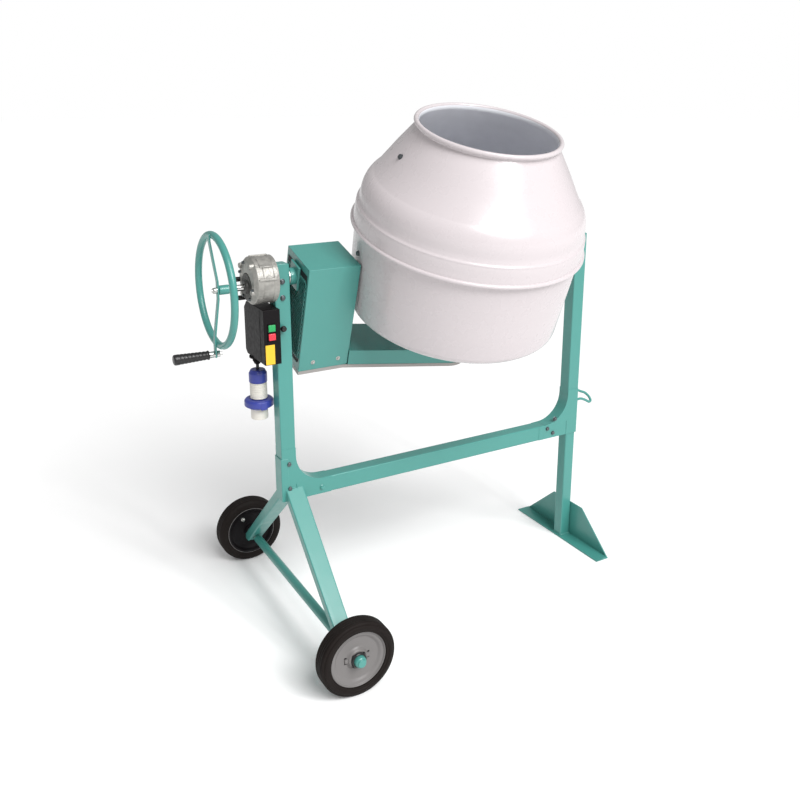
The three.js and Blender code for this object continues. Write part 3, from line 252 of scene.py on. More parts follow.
# ---------------------------------------------------------------- mesh tools, in millimetres
def smooth(mesh, angle=SHARP):
    """Smooth shading that stays crisp at edges sharper than the angle."""
    mesh.shade_smooth()
    mesh.set_sharp_from_angle(angle=math.radians(angle))


def signed_volume(mesh):
    """Volume inside a closed mesh; below zero when its faces point inwards."""
    mesh.calc_loop_triangles()
    points = [vertex.co for vertex in mesh.vertices]
    return sum(points[a].dot(points[b].cross(points[c])) for a, b, c in
               (triangle.vertices for triangle in mesh.loop_triangles)) / 6


def mesh_piece(name, vertices, faces, place=Matrix(), angle=SHARP):
    """A mesh object at the origin from millimetre points set by a placing matrix, faces outwards."""
    mesh = bpy.data.meshes.new(name)
    mesh.from_pydata([place @ Vector(point) * MM for point in vertices], [], faces)
    if signed_volume(mesh) < 0:
        mesh.flip_normals()
    smooth(mesh, angle)
    piece = bpy.data.objects.new(name, mesh)
    bpy.context.collection.objects.link(piece)
    return piece


def turned(name, profile, place=Matrix(), segments=72, angle=SHARP, lining=None):
    """A lathe-turned body about the place's z; the profile is (radius, distance along) pairs.

    A profile that leaves the axis closes on itself. lining is the range of profile spans that get the
    second material.
    """
    vertices, rings, faces, lined = [], [], [], []
    for radius, along in profile:
        count = segments if radius > 0 else 1
        rings.append([len(vertices) + k for k in range(count)])
        vertices += [(radius * math.cos(2 * math.pi * k / count), radius * math.sin(2 * math.pi * k / count), along)
                     for k in range(count)]
    spans = list(zip(rings, rings[1:]))
    if profile[0][0] > 0 and profile[-1][0] > 0:
        spans.append((rings[-1], rings[0]))
    for number, (low, high) in enumerate(spans):
        for k in range(segments):
            after = (k + 1) % segments
            if len(low) == 1 and len(high) == 1:
                continue
            if len(low) == 1:
                faces.append((low[0], high[k], high[after]))
            elif len(high) == 1:
                faces.append((low[k], high[0], low[after]))
            else:
                faces.append((low[k], high[k], high[after], low[after]))
            lined.append(lining is not None and lining[0] <= number < lining[1])
    piece = mesh_piece(name, vertices, faces, place, angle)
    if lining is not None:
        piece.data.polygons.foreach_set("material_index", [int(flag) for flag in lined])
    return piece


def eased(profile, radius, steps=3):
    """The profile with each corner off the axis rounded to about the radius."""
    points = [Vector(point) for point in profile]
    closed = profile[0][0] > 0 and profile[-1][0] > 0
    result = []
    for k, corner in enumerate(points):
        if not closed and k in (0, len(points) - 1):
            result.append(tuple(corner))
            continue
        before, after = points[k - 1], points[(k + 1) % len(points)]
        back = min(radius, (before - corner).length * 0.45)
        on = min(radius, (after - corner).length * 0.45)
        start = corner + (before - corner).normalized() * back
        end = corner + (after - corner).normalized() * on
        for step in range(steps + 1):
            share = step / steps
            point = start * (1 - share) ** 2 + corner * (2 * share * (1 - share)) + end * share ** 2
            result.append((max(0.0, point.x), point.y))
    return result


def applied(piece):
    """The piece with its modifiers turned into plain mesh."""
    evaluated = piece.evaluated_get(bpy.context.evaluated_depsgraph_get())
    mesh = bpy.data.meshes.new_from_object(evaluated)
    piece.modifiers.clear()
    piece.data = mesh
    return piece


def rounded(piece, width, segments=3, weights=False):
    """Rounds the piece's edges to a width in millimetres and keeps its flats flat."""
    bevel = piece.modifiers.new("Edge", "BEVEL")
    bevel.width = width * MM
    bevel.segments = segments
    bevel.limit_method = "WEIGHT" if weights else "ANGLE"
    bevel.angle_limit = math.radians(SHARP)
    bevel.harden_normals = False
    normals = piece.modifiers.new("Flats", "WEIGHTED_NORMAL")
    normals.keep_sharp = True
    return applied(piece)


def softened(name, node, width, along=None, shortest=9, segments=3):
    """A copy of a CAD node's mesh with its longer sharp edges rounded.

    along limits the rounding to edges in that direction; shorter edges, such as a hole's, stay crisp.
    """
    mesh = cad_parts[node].data.copy()
    mesh.materials.clear()
    build = bmesh.new()
    build.from_mesh(mesh)
    bmesh.ops.remove_doubles(build, verts=build.verts, dist=0.00002)
    bmesh.ops.dissolve_limit(build, angle_limit=math.radians(1.5), verts=build.verts, edges=build.edges)
    weight = build.edges.layers.float.new("bevel_weight_edge")
    direction = Vector(along).normalized() if along else None
    for edge in build.edges:
        if len(edge.link_faces) != 2 or edge.calc_length() < shortest * MM:
            continue
        if edge.calc_face_angle(0) < math.radians(28):
            continue
        line = (edge.verts[1].co - edge.verts[0].co).normalized()
        if direction is None or abs(line.dot(direction)) > 0.985:
            edge[weight] = 1.0
    build.to_mesh(mesh)
    build.free()
    mesh.name = name
    smooth(mesh, 30)
    piece = bpy.data.objects.new(name, mesh)
    bpy.context.collection.objects.link(piece)
    return rounded(piece, width, segments, weights=True)


def block(name, low, high, width, place=Matrix(), segments=3):
    """A solid block between two corners with rounded edges."""
    (x0, y0, z0), (x1, y1, z1) = low, high
    vertices = [(x, y, z) for x in (x0, x1) for y in (y0, y1) for z in (z0, z1)]
    faces = [(0, 1, 3, 2), (4, 6, 7, 5), (0, 4, 5, 1), (2, 3, 7, 6), (0, 2, 6, 4), (1, 5, 7, 3)]
    return rounded(mesh_piece(name, vertices, faces, place), width, segments)


def slab(name, outline, thickness, width, place=Matrix()):
    """A flat plate from an outline in the place's xy, its edges rounded."""
    count = len(outline)
    vertices = [(x, y, z) for z in (0, thickness) for x, y in outline]
    faces = [tuple(range(count)), tuple(range(count, 2 * count))[::-1]]
    faces += [(k, k + count, (k + 1) % count + count, (k + 1) % count) for k in range(count)]
    return rounded(mesh_piece(name, vertices, faces, place), width)


def bent_rod(name, points, radius, closed=False, sides=10):
    """A round rod along a smooth line of millimetre points."""
    line = bpy.data.curves.new(name, "CURVE")
    line.dimensions = "3D"
    line.resolution_u = 6
    line.bevel_depth = radius * MM
    line.bevel_resolution = sides // 2
    line.use_fill_caps = not closed
    spline = line.splines.new("BEZIER")
    spline.bezier_points.add(len(points) - 1)
    for knot, point in zip(spline.bezier_points, points):
        knot.co = Vector(point) * MM
        knot.handle_left_type = knot.handle_right_type = "AUTO"
    spline.use_cyclic_u = closed
    holder = bpy.data.objects.new(name + ".line", line)
    bpy.context.collection.objects.link(holder)
    mesh = bpy.data.meshes.new_from_object(holder.evaluated_get(bpy.context.evaluated_depsgraph_get()))
    bpy.data.objects.remove(holder)
    bpy.data.curves.remove(line)
    piece = bpy.data.objects.new(name, mesh)
    bpy.context.collection.objects.link(piece)
    smooth(mesh, 40)
    return piece


def dress(piece, material, body, slot, *nodes):
    """Gives a finished piece its material, the body it rides on and the CAD nodes it stands for; slot is not used."""
    names = [material] if isinstance(material, str) else list(material)
    kept = [polygon.material_index for polygon in piece.data.polygons]
    piece.data.materials.clear()
    for name in names:
        piece.data.materials.append(MATERIALS[name])
    if len(names) > 1:
        piece.data.polygons.foreach_set("material_index", kept)
    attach(piece, body)
    if nodes:
        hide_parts(*nodes)
    return piece


def painted(piece, body, *nodes):
    """Dresses a finished piece in the frame's paint."""
    return dress(piece, "paint", body, "frame_paint", *nodes)


def recoat(material, *nodes):
    """A CAD node whose shape is right gets a better material."""
    for node in nodes:
        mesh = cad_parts[node].data
        mesh.materials.clear()
        mesh.materials.append(MATERIALS[material])


# ---------------------------------------------------------------- geometry node trees
def new_tree(name, sockets):
    """An empty geometry tree with named inputs; returns it with its group input and output nodes."""
    tree = bpy.data.node_groups.new(name, "GeometryNodeTree")
    tree.interface.new_socket(name="Geometry", in_out="INPUT", socket_type="NodeSocketGeometry")
    for label, kind in sockets:
        tree.interface.new_socket(name=label, in_out="INPUT", socket_type=kind)
    tree.interface.new_socket(name="Geometry", in_out="OUTPUT", socket_type="NodeSocketGeometry")
    return tree, add_node(tree, "NodeGroupInput"), add_node(tree, "NodeGroupOutput")


def end_tree(tree, given, result, instances):
    """Ends a tree: instances made real and given the material."""
    real = add_node(tree, "GeometryNodeRealizeInstances", {0: instances})
    coated = add_node(tree, "GeometryNodeSetMaterial", {
        "Geometry": real.outputs[0], "Material": given.outputs["Material"]})
    tree.links.new(coated.outputs[0], result.inputs[0])
    return tree


def fastener_tree():
    """A hexagon head with a chamfered crown on a washer, at each point, along its axis attribute."""
    tree, given, result = new_tree("Fasteners", [
        ("Head Radius", "NodeSocketFloat"), ("Head Height", "NodeSocketFloat"), ("Sides", "NodeSocketInt"),
        ("Washer Radius", "NodeSocketFloat"), ("Washer Height", "NodeSocketFloat"), ("Material", "NodeSocketMaterial")])
    value = given.outputs
    washer = add_node(tree, "GeometryNodeMeshCone", {
        "Vertices": 28, "Radius Top": value["Head Radius"], "Radius Bottom": value["Washer Radius"],
        "Depth": value["Washer Height"]})
    shank = add_node(tree, "GeometryNodeMeshCylinder", {
        "Vertices": value["Sides"], "Radius": value["Head Radius"], "Depth": value["Head Height"]})
    raised = add_node(tree, "ShaderNodeMath", {0: value["Head Height"], 1: 0.5, 2: value["Washer Height"]},
                      operation="MULTIPLY_ADD")
    lift = add_node(tree, "ShaderNodeCombineXYZ", {"Z": raised.outputs[0]})
    head = add_node(tree, "GeometryNodeTransform", {"Geometry": shank.outputs[0], "Translation": lift.outputs[0]})
    top = add_node(tree, "ShaderNodeMath", {0: value["Head Height"], 1: value["Washer Height"]}, operation="ADD")
    crown_height = add_node(tree, "ShaderNodeMath", {0: value["Head Height"], 1: 0.22}, operation="MULTIPLY")
    crown_top = add_node(tree, "ShaderNodeMath", {0: value["Head Radius"], 1: 0.72}, operation="MULTIPLY")
    crown = add_node(tree, "GeometryNodeMeshCone", {
        "Vertices": value["Sides"], "Radius Top": crown_top.outputs[0], "Radius Bottom": value["Head Radius"],
        "Depth": crown_height.outputs[0]})
    peak = add_node(tree, "ShaderNodeCombineXYZ", {"Z": top.outputs[0]})
    cap = add_node(tree, "GeometryNodeTransform", {"Geometry": crown.outputs[0], "Translation": peak.outputs[0]})
    whole = add_node(tree, "GeometryNodeJoinGeometry")
    for part in (washer, head, cap):
        tree.links.new(part.outputs[0], whole.inputs[0])
    axis = add_node(tree, "GeometryNodeInputNamedAttribute", {"Name": "axis"}, data_type="FLOAT_VECTOR")
    turn = add_node(tree, "FunctionNodeAlignRotationToVector", {"Vector": axis.outputs[0]}, axis="Z")
    set_out = add_node(tree, "GeometryNodeInstanceOnPoints", {
        "Points": value["Geometry"], "Instance": whole.outputs[0], "Rotation": turn.outputs[0]})
    return end_tree(tree, given, result, set_out.outputs[0])


def weld_tree():
    """A weld bead: overlapping ripples set along the edges of a line."""
    tree, given, result = new_tree("Weld bead", [
        ("Bead Radius", "NodeSocketFloat"), ("Ripple", "NodeSocketFloat"), ("Material", "NodeSocketMaterial")])
    value = given.outputs
    line = add_node(tree, "GeometryNodeMeshToCurve", {0: value["Geometry"]})
    places = add_node(tree, "GeometryNodeCurveToPoints", {"Curve": line.outputs[0], "Length": value["Ripple"]},
                      mode="LENGTH")
    ripple = add_node(tree, "GeometryNodeMeshIcoSphere", {"Radius": value["Bead Radius"], "Subdivisions": 2})
    set_out = add_node(tree, "GeometryNodeInstanceOnPoints", {
        "Points": places.outputs["Points"], "Instance": ripple.outputs[0]})
    return end_tree(tree, given, result, set_out.outputs[0])


def vent_tree():
    """Expanded metal: a sheet of diamonds, each a bent strand, set out on two staggered grids in xy."""
    tree, given, result = new_tree("Expanded metal", [
        ("Width", "NodeSocketFloat"), ("Height", "NodeSocketFloat"), ("Long Way", "NodeSocketFloat"),
        ("Short Way", "NodeSocketFloat"), ("Columns", "NodeSocketInt"), ("Rows", "NodeSocketInt"),
        ("Strand", "NodeSocketFloat"), ("Material", "NodeSocketMaterial")])
    value = given.outputs
    grid = add_node(tree, "GeometryNodeMeshGrid", {
        "Size X": value["Width"], "Size Y": value["Height"], "Vertices X": value["Columns"],
        "Vertices Y": value["Rows"]})
    half = add_node(tree, "ShaderNodeCombineXYZ")
    for label, axis in (("Short Way", "X"), ("Long Way", "Y")):
        share = add_node(tree, "ShaderNodeMath", {0: value[label], 1: 0.5}, operation="MULTIPLY")
        tree.links.new(share.outputs[0], half.inputs[axis])
    second = add_node(tree, "GeometryNodeTransform", {"Geometry": grid.outputs[0], "Translation": half.outputs[0]})
    both = add_node(tree, "GeometryNodeJoinGeometry")
    tree.links.new(grid.outputs[0], both.inputs[0])
    tree.links.new(second.outputs[0], both.inputs[0])
    corner = add_node(tree, "GeometryNodeMeshCircle", {"Vertices": 4, "Radius": 0.5})
    ring = add_node(tree, "GeometryNodeMeshToCurve", {0: corner.outputs[0]})
    stretch = add_node(tree, "ShaderNodeCombineXYZ", {"X": value["Short Way"], "Y": value["Long Way"], "Z": 1.0})
    diamond = add_node(tree, "GeometryNodeTransform", {"Geometry": ring.outputs[0], "Scale": stretch.outputs[0]})
    strand = add_node(tree, "GeometryNodeCurvePrimitiveQuadrilateral",
                      {"Width": value["Strand"], "Height": value["Strand"]})
    solid = add_node(tree, "GeometryNodeCurveToMesh", {0: diamond.outputs[0], 1: strand.outputs[0]})
    set_out = add_node(tree, "GeometryNodeInstanceOnPoints", {"Points": both.outputs[0], "Instance": solid.outputs[0]})
    return end_tree(tree, given, result, set_out.outputs[0])


def rib_tree():
    """Straight ribs set round the z axis, each a rounded bar on a circle."""
    tree, given, result = new_tree("Ribs round an axis", [
        ("Count", "NodeSocketInt"), ("Circle", "NodeSocketFloat"), ("Rib Radius", "NodeSocketFloat"),
        ("Length", "NodeSocketFloat"), ("Material", "NodeSocketMaterial")])
    value = given.outputs
    circle = add_node(tree, "GeometryNodeMeshCircle", {"Vertices": value["Count"], "Radius": value["Circle"]})
    bar = add_node(tree, "GeometryNodeMeshCylinder", {
        "Vertices": 8, "Radius": value["Rib Radius"], "Depth": value["Length"]})
    set_out = add_node(tree, "GeometryNodeInstanceOnPoints", {"Points": circle.outputs[0], "Instance": bar.outputs[0]})
    return end_tree(tree, given, result, set_out.outputs[0])


def grown(name, tree, vertices, edges, values, material, place=Matrix(), axes=None, angle=SHARP):
    """Runs a geometry tree on a small mesh and keeps the result as a plain mesh set by the place."""
    seed = bpy.data.meshes.new(name)
    seed.from_pydata([Vector(point) * MM for point in vertices], edges, [])
    if axes:
        layer = seed.attributes.new("axis", "FLOAT_VECTOR", "POINT")
        layer.data.foreach_set("vector", [number for axis in axes for number in axis])
    piece = bpy.data.objects.new(name, seed)
    bpy.context.collection.objects.link(piece)
    modifier = piece.modifiers.new("Tree", "NODES")
    modifier.node_group = tree
    wanted = {**values, "Material": MATERIALS[material]}
    for item in tree.interface.items_tree:
        if item.in_out == "INPUT" and item.name in wanted:
            modifier[item.identifier] = wanted[item.name]
    applied(piece)
    piece.data.transform(Matrix.Scale(MM, 4) @ place @ Matrix.Scale(1 / MM, 4))
    smooth(piece.data, angle)
    return piece


MATERIALS = {}
TREES = {}


class MixerOperator(bpy.types.Operator):
    """Shared settings of the operators."""
    bl_options = {"REGISTER", "UNDO"}

    @property
    def sizes(self):
        return bpy.context.scene.mixer_sizes


# ---------------------------------------------------------------- stage
class MIXER_OT_stage(MixerOperator):
    """Makes the camera, the lights, the floor, the materials and the geometry trees"""
    bl_idname = "mixer.stage"
    bl_label = "Stage"

    def execute(self, context):
        MATERIALS.update(make_materials(context.scene.mixer_colours))
        TREES.update(fastener=fastener_tree(), weld=weld_tree(), vent=vent_tree(), rib=rib_tree())
        lens = bpy.data.cameras.new("Camera")
        lens.lens = CAMERA_LENS
        lens.sensor_width = 36
        lens.shift_y = CAMERA_SHIFT
        lens.clip_end = 100
        camera = bpy.data.objects.new("Camera", lens)
        camera.location = CAMERA_PLACE
        back = Vector((math.sin(CAMERA_TURN) * math.cos(CAMERA_RISE),
                       -math.cos(CAMERA_TURN) * math.cos(CAMERA_RISE), math.sin(CAMERA_RISE)))
        camera.rotation_mode = "QUATERNION"
        camera.rotation_quaternion = (-back).to_track_quat("-Z", "Y")
        context.collection.objects.link(camera)
        context.scene.camera = camera
        context.scene.view_settings.view_transform = "Standard"

        world = bpy.data.worlds.new("Studio")
        world.use_nodes = True
        air = world.node_tree
        seen = add_node(air, "ShaderNodeLightPath")
        power = add_node(air, "ShaderNodeMapRange", {0: seen.outputs["Is Camera Ray"], 3: AIR_LIGHT, 4: AIR_SEEN})
        air.links.new(power.outputs[0], air.nodes["Background"].inputs[1])
        air.nodes["Background"].inputs[0].default_value = (1, 1, 1, 1)
        context.scene.world = world
        self.lamp("Daylight", "SUN", (0.5, -2.4, 3.3), DAYLIGHT, {"angle": math.radians(40)})
        for name, place in (("Window left", (0.35, -2.7, 2.7)), ("Window right", (0.75, -2.6, 2.6))):
            self.lamp(name, "AREA", place, WINDOW_POWER, {"shape": "RECTANGLE", "size": 0.12, "size_y": 0.9})

        count = 96
        rim = [(FLOOR_RADIUS * math.cos(2 * math.pi * k / count), FLOOR_RADIUS * math.sin(2 * math.pi * k / count), 0)
               for k in range(count)]
        mesh = bpy.data.meshes.new("Floor")
        mesh.from_pydata([Vector(point) * MM - Vector((0, 0, 0.0004)) for point in rim], [], [tuple(range(count))])
        mesh.materials.append(MATERIALS["floor"])
        floor = bpy.data.objects.new("Floor", mesh)
        context.collection.objects.link(floor)
        return {"FINISHED"}

    def lamp(self, name, kind, place, power, settings):
        """A light at a place, turned to the middle of the drum."""
        data = bpy.data.lights.new(name, kind)
        data.energy = power
        for key, value in settings.items():
            setattr(data, key, value)
        light = bpy.data.objects.new(name, data)
        light.location = place
        light.rotation_mode = "QUATERNION"
        light.rotation_quaternion = (Vector((0.1, -0.1, 0.9)) - Vector(place)).to_track_quat("-Z", "Y")
        bpy.context.collection.objects.link(light)


# ---------------------------------------------------------------- lead and plug
class MIXER_OT_lead(MixerOperator):
    """Makes the short mains lead with its gland and plug"""
    bl_idname = "mixer.lead"
    bl_label = "Lead and plug"

    def execute(self, context):
        hang = Matrix.Translation((PLUG_X, PLUG_Y, 0))
        bore = 4.3
        gland = [(bore, 726), (7.2, 726), (9.5, 731)]
        for z in (733, 736, 739):
            gland += [(10.5, z), (11.8, z + 1), (11.8, z + 2)]
        gland += [(19.5, 743), (20, 744), (20, 747.7), (bore, 747.7)]
        gland = dress(turned("cable_gland_body", eased(gland, 0.5, 2), hang, 48), "abs", "frame", "black_plastic",
                      "cable_gland")
        nut = [(0, 677.3), (22.3, 677.3), (23.5, 679), (23.5, 702), (21, 706), (18.5, 711), (bore, 711), (bore, 705),
               (0, 705)]
        nut = dress(turned("plug_nut_body", eased(nut, 1.2), hang, 72), "plug", "frame", "blue_plastic", "plug_nut")
        ribs = dress(grown("plug_nut_ribs", TREES["rib"], [(0, 0, 0)], [], {
            "Count": 26, "Circle": 22.6 * MM, "Rib Radius": 0.9 * MM, "Length": 19 * MM}, "plug",
            Matrix.Translation((PLUG_X, PLUG_Y, 691))), "plug", "frame", "blue_plastic")
        body = [(0, 633)]
        for z in range(635, 672, 5):
            body += [(22.2, z), (22.2, z + 3), (21.2, z + 3.6), (21.2, z + 4.4)]
        body += [(22.2, 674), (22.2, 676.7), (0, 676.7)]
        body = dress(turned("plug_body_shell", eased(body, 0.4, 2), hang, 72), "plug_pale", "frame", "grey_plastic",
                     "plug_body")
        flange = [(0, 608), (27.2, 608), (38, 615), (38, 628), (34, 632.7), (0, 632.7)]
        flange = dress(turned("plug_flange_ring", eased(flange, 1.6, 4), hang, 84), "plug", "frame", "blue_plastic",
                       "plug_flange")
        latch = dress(block("plug_latch", (-9, -38.0, 610), (9, -30, 631), 2.2, hang), "plug", "frame", "blue_plastic")
        shroud = [(0, 604), (19.2, 604), (19.2, 579), (22.2, 579), (22.2, 607.7), (0, 607.7)]
        shroud = dress(turned("plug_shroud_wall", eased(shroud, 0.7), hang, 72), "plug_pale", "frame", "grey_plastic",
                       "plug_shroud")
        recoat("chrome", "plug_pins")

        line = bpy.data.curves.new("mains_lead_line", "CURVE")
        line.dimensions = "3D"
        line.bevel_depth = 4 * MM
        line.bevel_resolution = 6
        line.use_fill_caps = True
        spline = line.splines.new("POLY")
        heights = [758 - 52 * k / 14 for k in range(15)]
        spline.points.add(len(heights) - 1)
        for point, height in zip(spline.points, heights):
            point.co = (PLUG_X * MM, PLUG_Y * MM, height * MM, 1)
        line.materials.append(MATERIALS["sheath"])
        lead = bpy.data.objects.new("mains_lead_line", line)
        context.collection.objects.link(lead)
        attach(lead, "frame")
        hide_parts("mains_lead")
        return {"FINISHED"}


# ---------------------------------------------------------------- stand
class MIXER_OT_stand(MixerOperator):
    """Makes the posts, beam, legs, foot, axle, tow loop and their welds"""
    bl_idname = "mixer.stand"
    bl_label = "Stand"

    def execute(self, context):
        corner = self.sizes.tube_corner / MM
        down, across = (0, 0, 1), (1, 0, 0)
        for name, node, along in (("left_post_tube", "left_post", down), ("right_post_tube", "right_post", down),
                                  ("cross_beam_tube", "cross_beam", across), ("right_leg_tube", "right_leg", down)):
            painted(softened(name, node, corner, along), "frame", node)
        for side in ("front", "rear"):
            reach = 1 if side == "rear" else -1
            slope = (0, reach, -1 / LEG_SLOPE)
            painted(softened(f"{side}_leg_tube", f"{side}_leg", corner, slope), "frame",
                    f"{side}_leg")
        for side in ("left", "right"):
            painted(softened(f"{side}_gusset_plate", f"{side}_gusset", 1.5), "frame",
                    f"{side}_gusset")
        painted(softened("foot_plate_fold", "foot_plate", 1.2), "frame", "foot_plate")
        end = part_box("axle_sleeve")[1].y / MM
        sleeve = [(10.4, -end), (12.3, -end), (12.3, end), (10.4, end)]
        painted(turned("axle_sleeve_tube", eased(sleeve, 0.6), Matrix.Translation((WHEEL_X, 0, WHEEL_Z)) @ ALONG_Y, 32),
                "frame", "axle_sleeve")
        recoat("zinc", "axle")

        # plates that close the tubes, pressed a little into their ends
        for name, x in (("left_post_cap", -377), ("right_post_cap", 574)):
            painted(block(name, (x - 17.6, -17.6, 985), (x + 17.6, 17.6, 991.5), 1.6), "frame")
        # formed plates that cover the corners between the posts and the beam, front and back
        corners = (("left", -396.4, -356.7, -258, 78), ("right", 593.4, 553.7, 446, 85))
        for name, post_out, post_in, reach, radius in corners:
            hand = 1 if post_in > post_out else -1
            turn = [(post_in + hand * radius * (1 - math.cos(a)), 403.3 + radius * (1 - math.sin(a)))
                    for a in (math.pi / 2 * k / 12 for k in range(13))]
            outline = [(post_out, 358.6), (reach, 358.6), (reach, 402.6)]
            outline += turn[::-1] + [(post_in, 505), (post_out, 505)]
            for face, y in (("front", -20.05), ("back", 20.85)):
                lie = Matrix.Translation((0, y, 0)) @ Matrix.Rotation(math.radians(90), 4, "X")
                painted(slab(f"{name}_corner_plate_{face}", outline, 0.8, 0.3, lie), "frame")
        # sleeves that stiffen the joints between the posts and the legs
        painted(block("left_post_sleeve", (-399.2, -21.4, 359), (-378, 21.4, 479), 1.8), "frame")
        root = 594.5
        middle = [(root + 20, 473), (root + 40, 465), (root + 58, 456)]
        front = [(root, -10, 462), (root + 10, -10, 462)] + [(x, -10, z - 11) for x, z in middle]
        bend = [(664, 0, 449)]
        back = [(x, 10, z + 11) for x, z in reversed(middle)] + [(root + 10, 10, 484), (root, 10, 484)]
        painted(bent_rod("tow_loop_rod", front + bend + back, 4), "frame", "tow_loop")

        radius, ripple = self.sizes.weld_radius, self.sizes.weld_ripple
        beads = {
            "weld_beam_left": [(-356.7, -20, 359), (-356.7, -20, 402)],
            "weld_beam_right": [(553.7, -20, 359), (553.7, -20, 402)],
            "weld_beam_left_back": [(-356.7, 20, 359), (-356.7, 20, 402)],
            "weld_beam_right_back": [(553.7, 20, 359), (553.7, 20, 402)],
            "weld_front_leg": [(-387, -20.4, 361), (-387, -20.4, 391), (-366, -20.4, 393)],
            "weld_rear_leg": [(-387, 20.4, 361), (-387, 20.4, 391), (-366, 20.4, 393)],
            "weld_foot": [(556.5, -17.6, 5), (556.5, 17.6, 5)],
            "weld_foot_front": [(557, -17.7, 5), (590, -17.7, 5)],
        }
        for name, path in beads.items():
            edges = [(k, k + 1) for k in range(len(path) - 1)]
            painted(grown(name, TREES["weld"], path, edges, {"Bead Radius": radius, "Ripple": ripple}, "paint"),
                    "frame")
        recoat("zinc", "left_bush", "right_bush")
        return {"FINISHED"}


# ---------------------------------------------------------------- wheels
class MIXER_OT_wheels(MixerOperator):
    """Makes the tyres, rims and hub caps"""
    bl_idname = "mixer.wheels"
    bl_label = "Wheels"

    def execute(self, context):
        for side, sign in (("front", -1), ("rear", 1)):
            body = f"{side}_wheel"
            facing = ALONG_Y if sign > 0 else ALONG_Y @ Matrix.Rotation(math.pi, 4, "X")
            out = Matrix.Translation((WHEEL_X, 0, WHEEL_Z)) @ facing
            tyre = [(73.2, 340), (76, 339.4), (84, 339.2), (90, 341), (95.2, 344.6), (97.4, 348)]
            for y in (349.5, 357, 364.5, 372):
                tyre += [(98, y), (98, y + 4.6), (96.0, y + 5.4), (96.0, y + 6.9)]
            tyre += [(98, 379.4), (96.4, 382.4), (93.4, 384.2), (91.0, 384.0), (90.2, 386.4), (86, 387.8), (81, 387.4),
                     (79.6, 385.6), (74.8, 385.2), (73.2, 384.6)]
            dress(turned(f"{side}_tyre_rubber", eased(tyre, 0.7, 2), out, 128), "tyre", body, "tyre_rubber",
                  f"{side}_tyre")
            inner = eased([(10.5, 341), (18, 341), (20, 352), (52, 355), (62, 350), (66, 342), (72.7, 341),
                           (72.7, 382.4), (70.4, 382.4), (68.8, 378.4), (62, 377.2), (56, 372.6), (30, 371.4),
                           (27, 374), (23, 380), (10.5, 380)], 1.6, 3)
            # The first spans of the profile, the rim's inner side, are drawn black.
            dark_spans = 4 * 6
            dress(turned(f"{side}_rim_disc", inner, out, 112, lining=(0, dark_spans)), ("rim", "abs"), body, "rim_grey",
                  f"{side}_rim")
            bolts = [((40 * math.cos(t), 40 * math.sin(t), 354.5), (0, 0, -1))
                     for t in (math.radians(60), math.radians(240))]
            dress(grown(f"{side}_rim_bolts", TREES["fastener"], [spot for spot, _ in bolts], [], {
                "Head Radius": 4.5 * MM, "Head Height": 4 * MM, "Sides": 6, "Washer Radius": 7 * MM,
                "Washer Height": 1.2 * MM}, "zinc", out, [axis for _, axis in bolts]), "zinc", body, "steel")
            for number, turn in enumerate((0, 180), 1):
                lug = out @ Matrix.Rotation(math.radians(turn), 4, "Z")
                dress(block(f"{side}_rim_lug_{number}", (23.5, -5, 371), (33, 5, 375.5), 1.0, lug), "rim", body,
                      "rim_grey")
                # Painted shade: a thin black block on each side of a lug stands for the dark opening of a slot.
                for hand, y in (("a", -7.4), ("b", 7.4)):
                    slot = block(f"{side}_rim_slot_{number}{hand}", (22.5, y - 1.4, 371), (33.5, y + 1.4, 372.6), 0.5,
                                 lug)
                    dress(slot, "abs", body, "black_plastic")
            cap = [(0, 381), (14.4, 381), (14.8, 383), (14.8, 392), (13.6, 396), (11.0, 398.4), (10.4, 401),
                   (8.6, 402), (0, 402)]
            painted(turned(f"{side}_hub_cap", eased(cap, 1.0), out, 48), body, f"{side}_cap")
            ring = [(15.2, 380.6), (19.6, 380.6), (19.6, 385), (17.6, 387.4), (15.2, 387.4)]
            dress(turned(f"{side}_hub_ring", eased(ring, 0.8), out, 48), "grip", body, "black_plastic")
            for number in range(4):
                turn = out @ Matrix.Rotation(math.radians(45 + 90 * number), 4, "Z")
                claw = block(f"{side}_hub_claw_{number + 1}", (18.2, -2.8, 380.8), (22.6, 2.8, 385.2), 1.0, turn)
                dress(claw, "grip", body, "black_plastic")
        return {"FINISHED"}


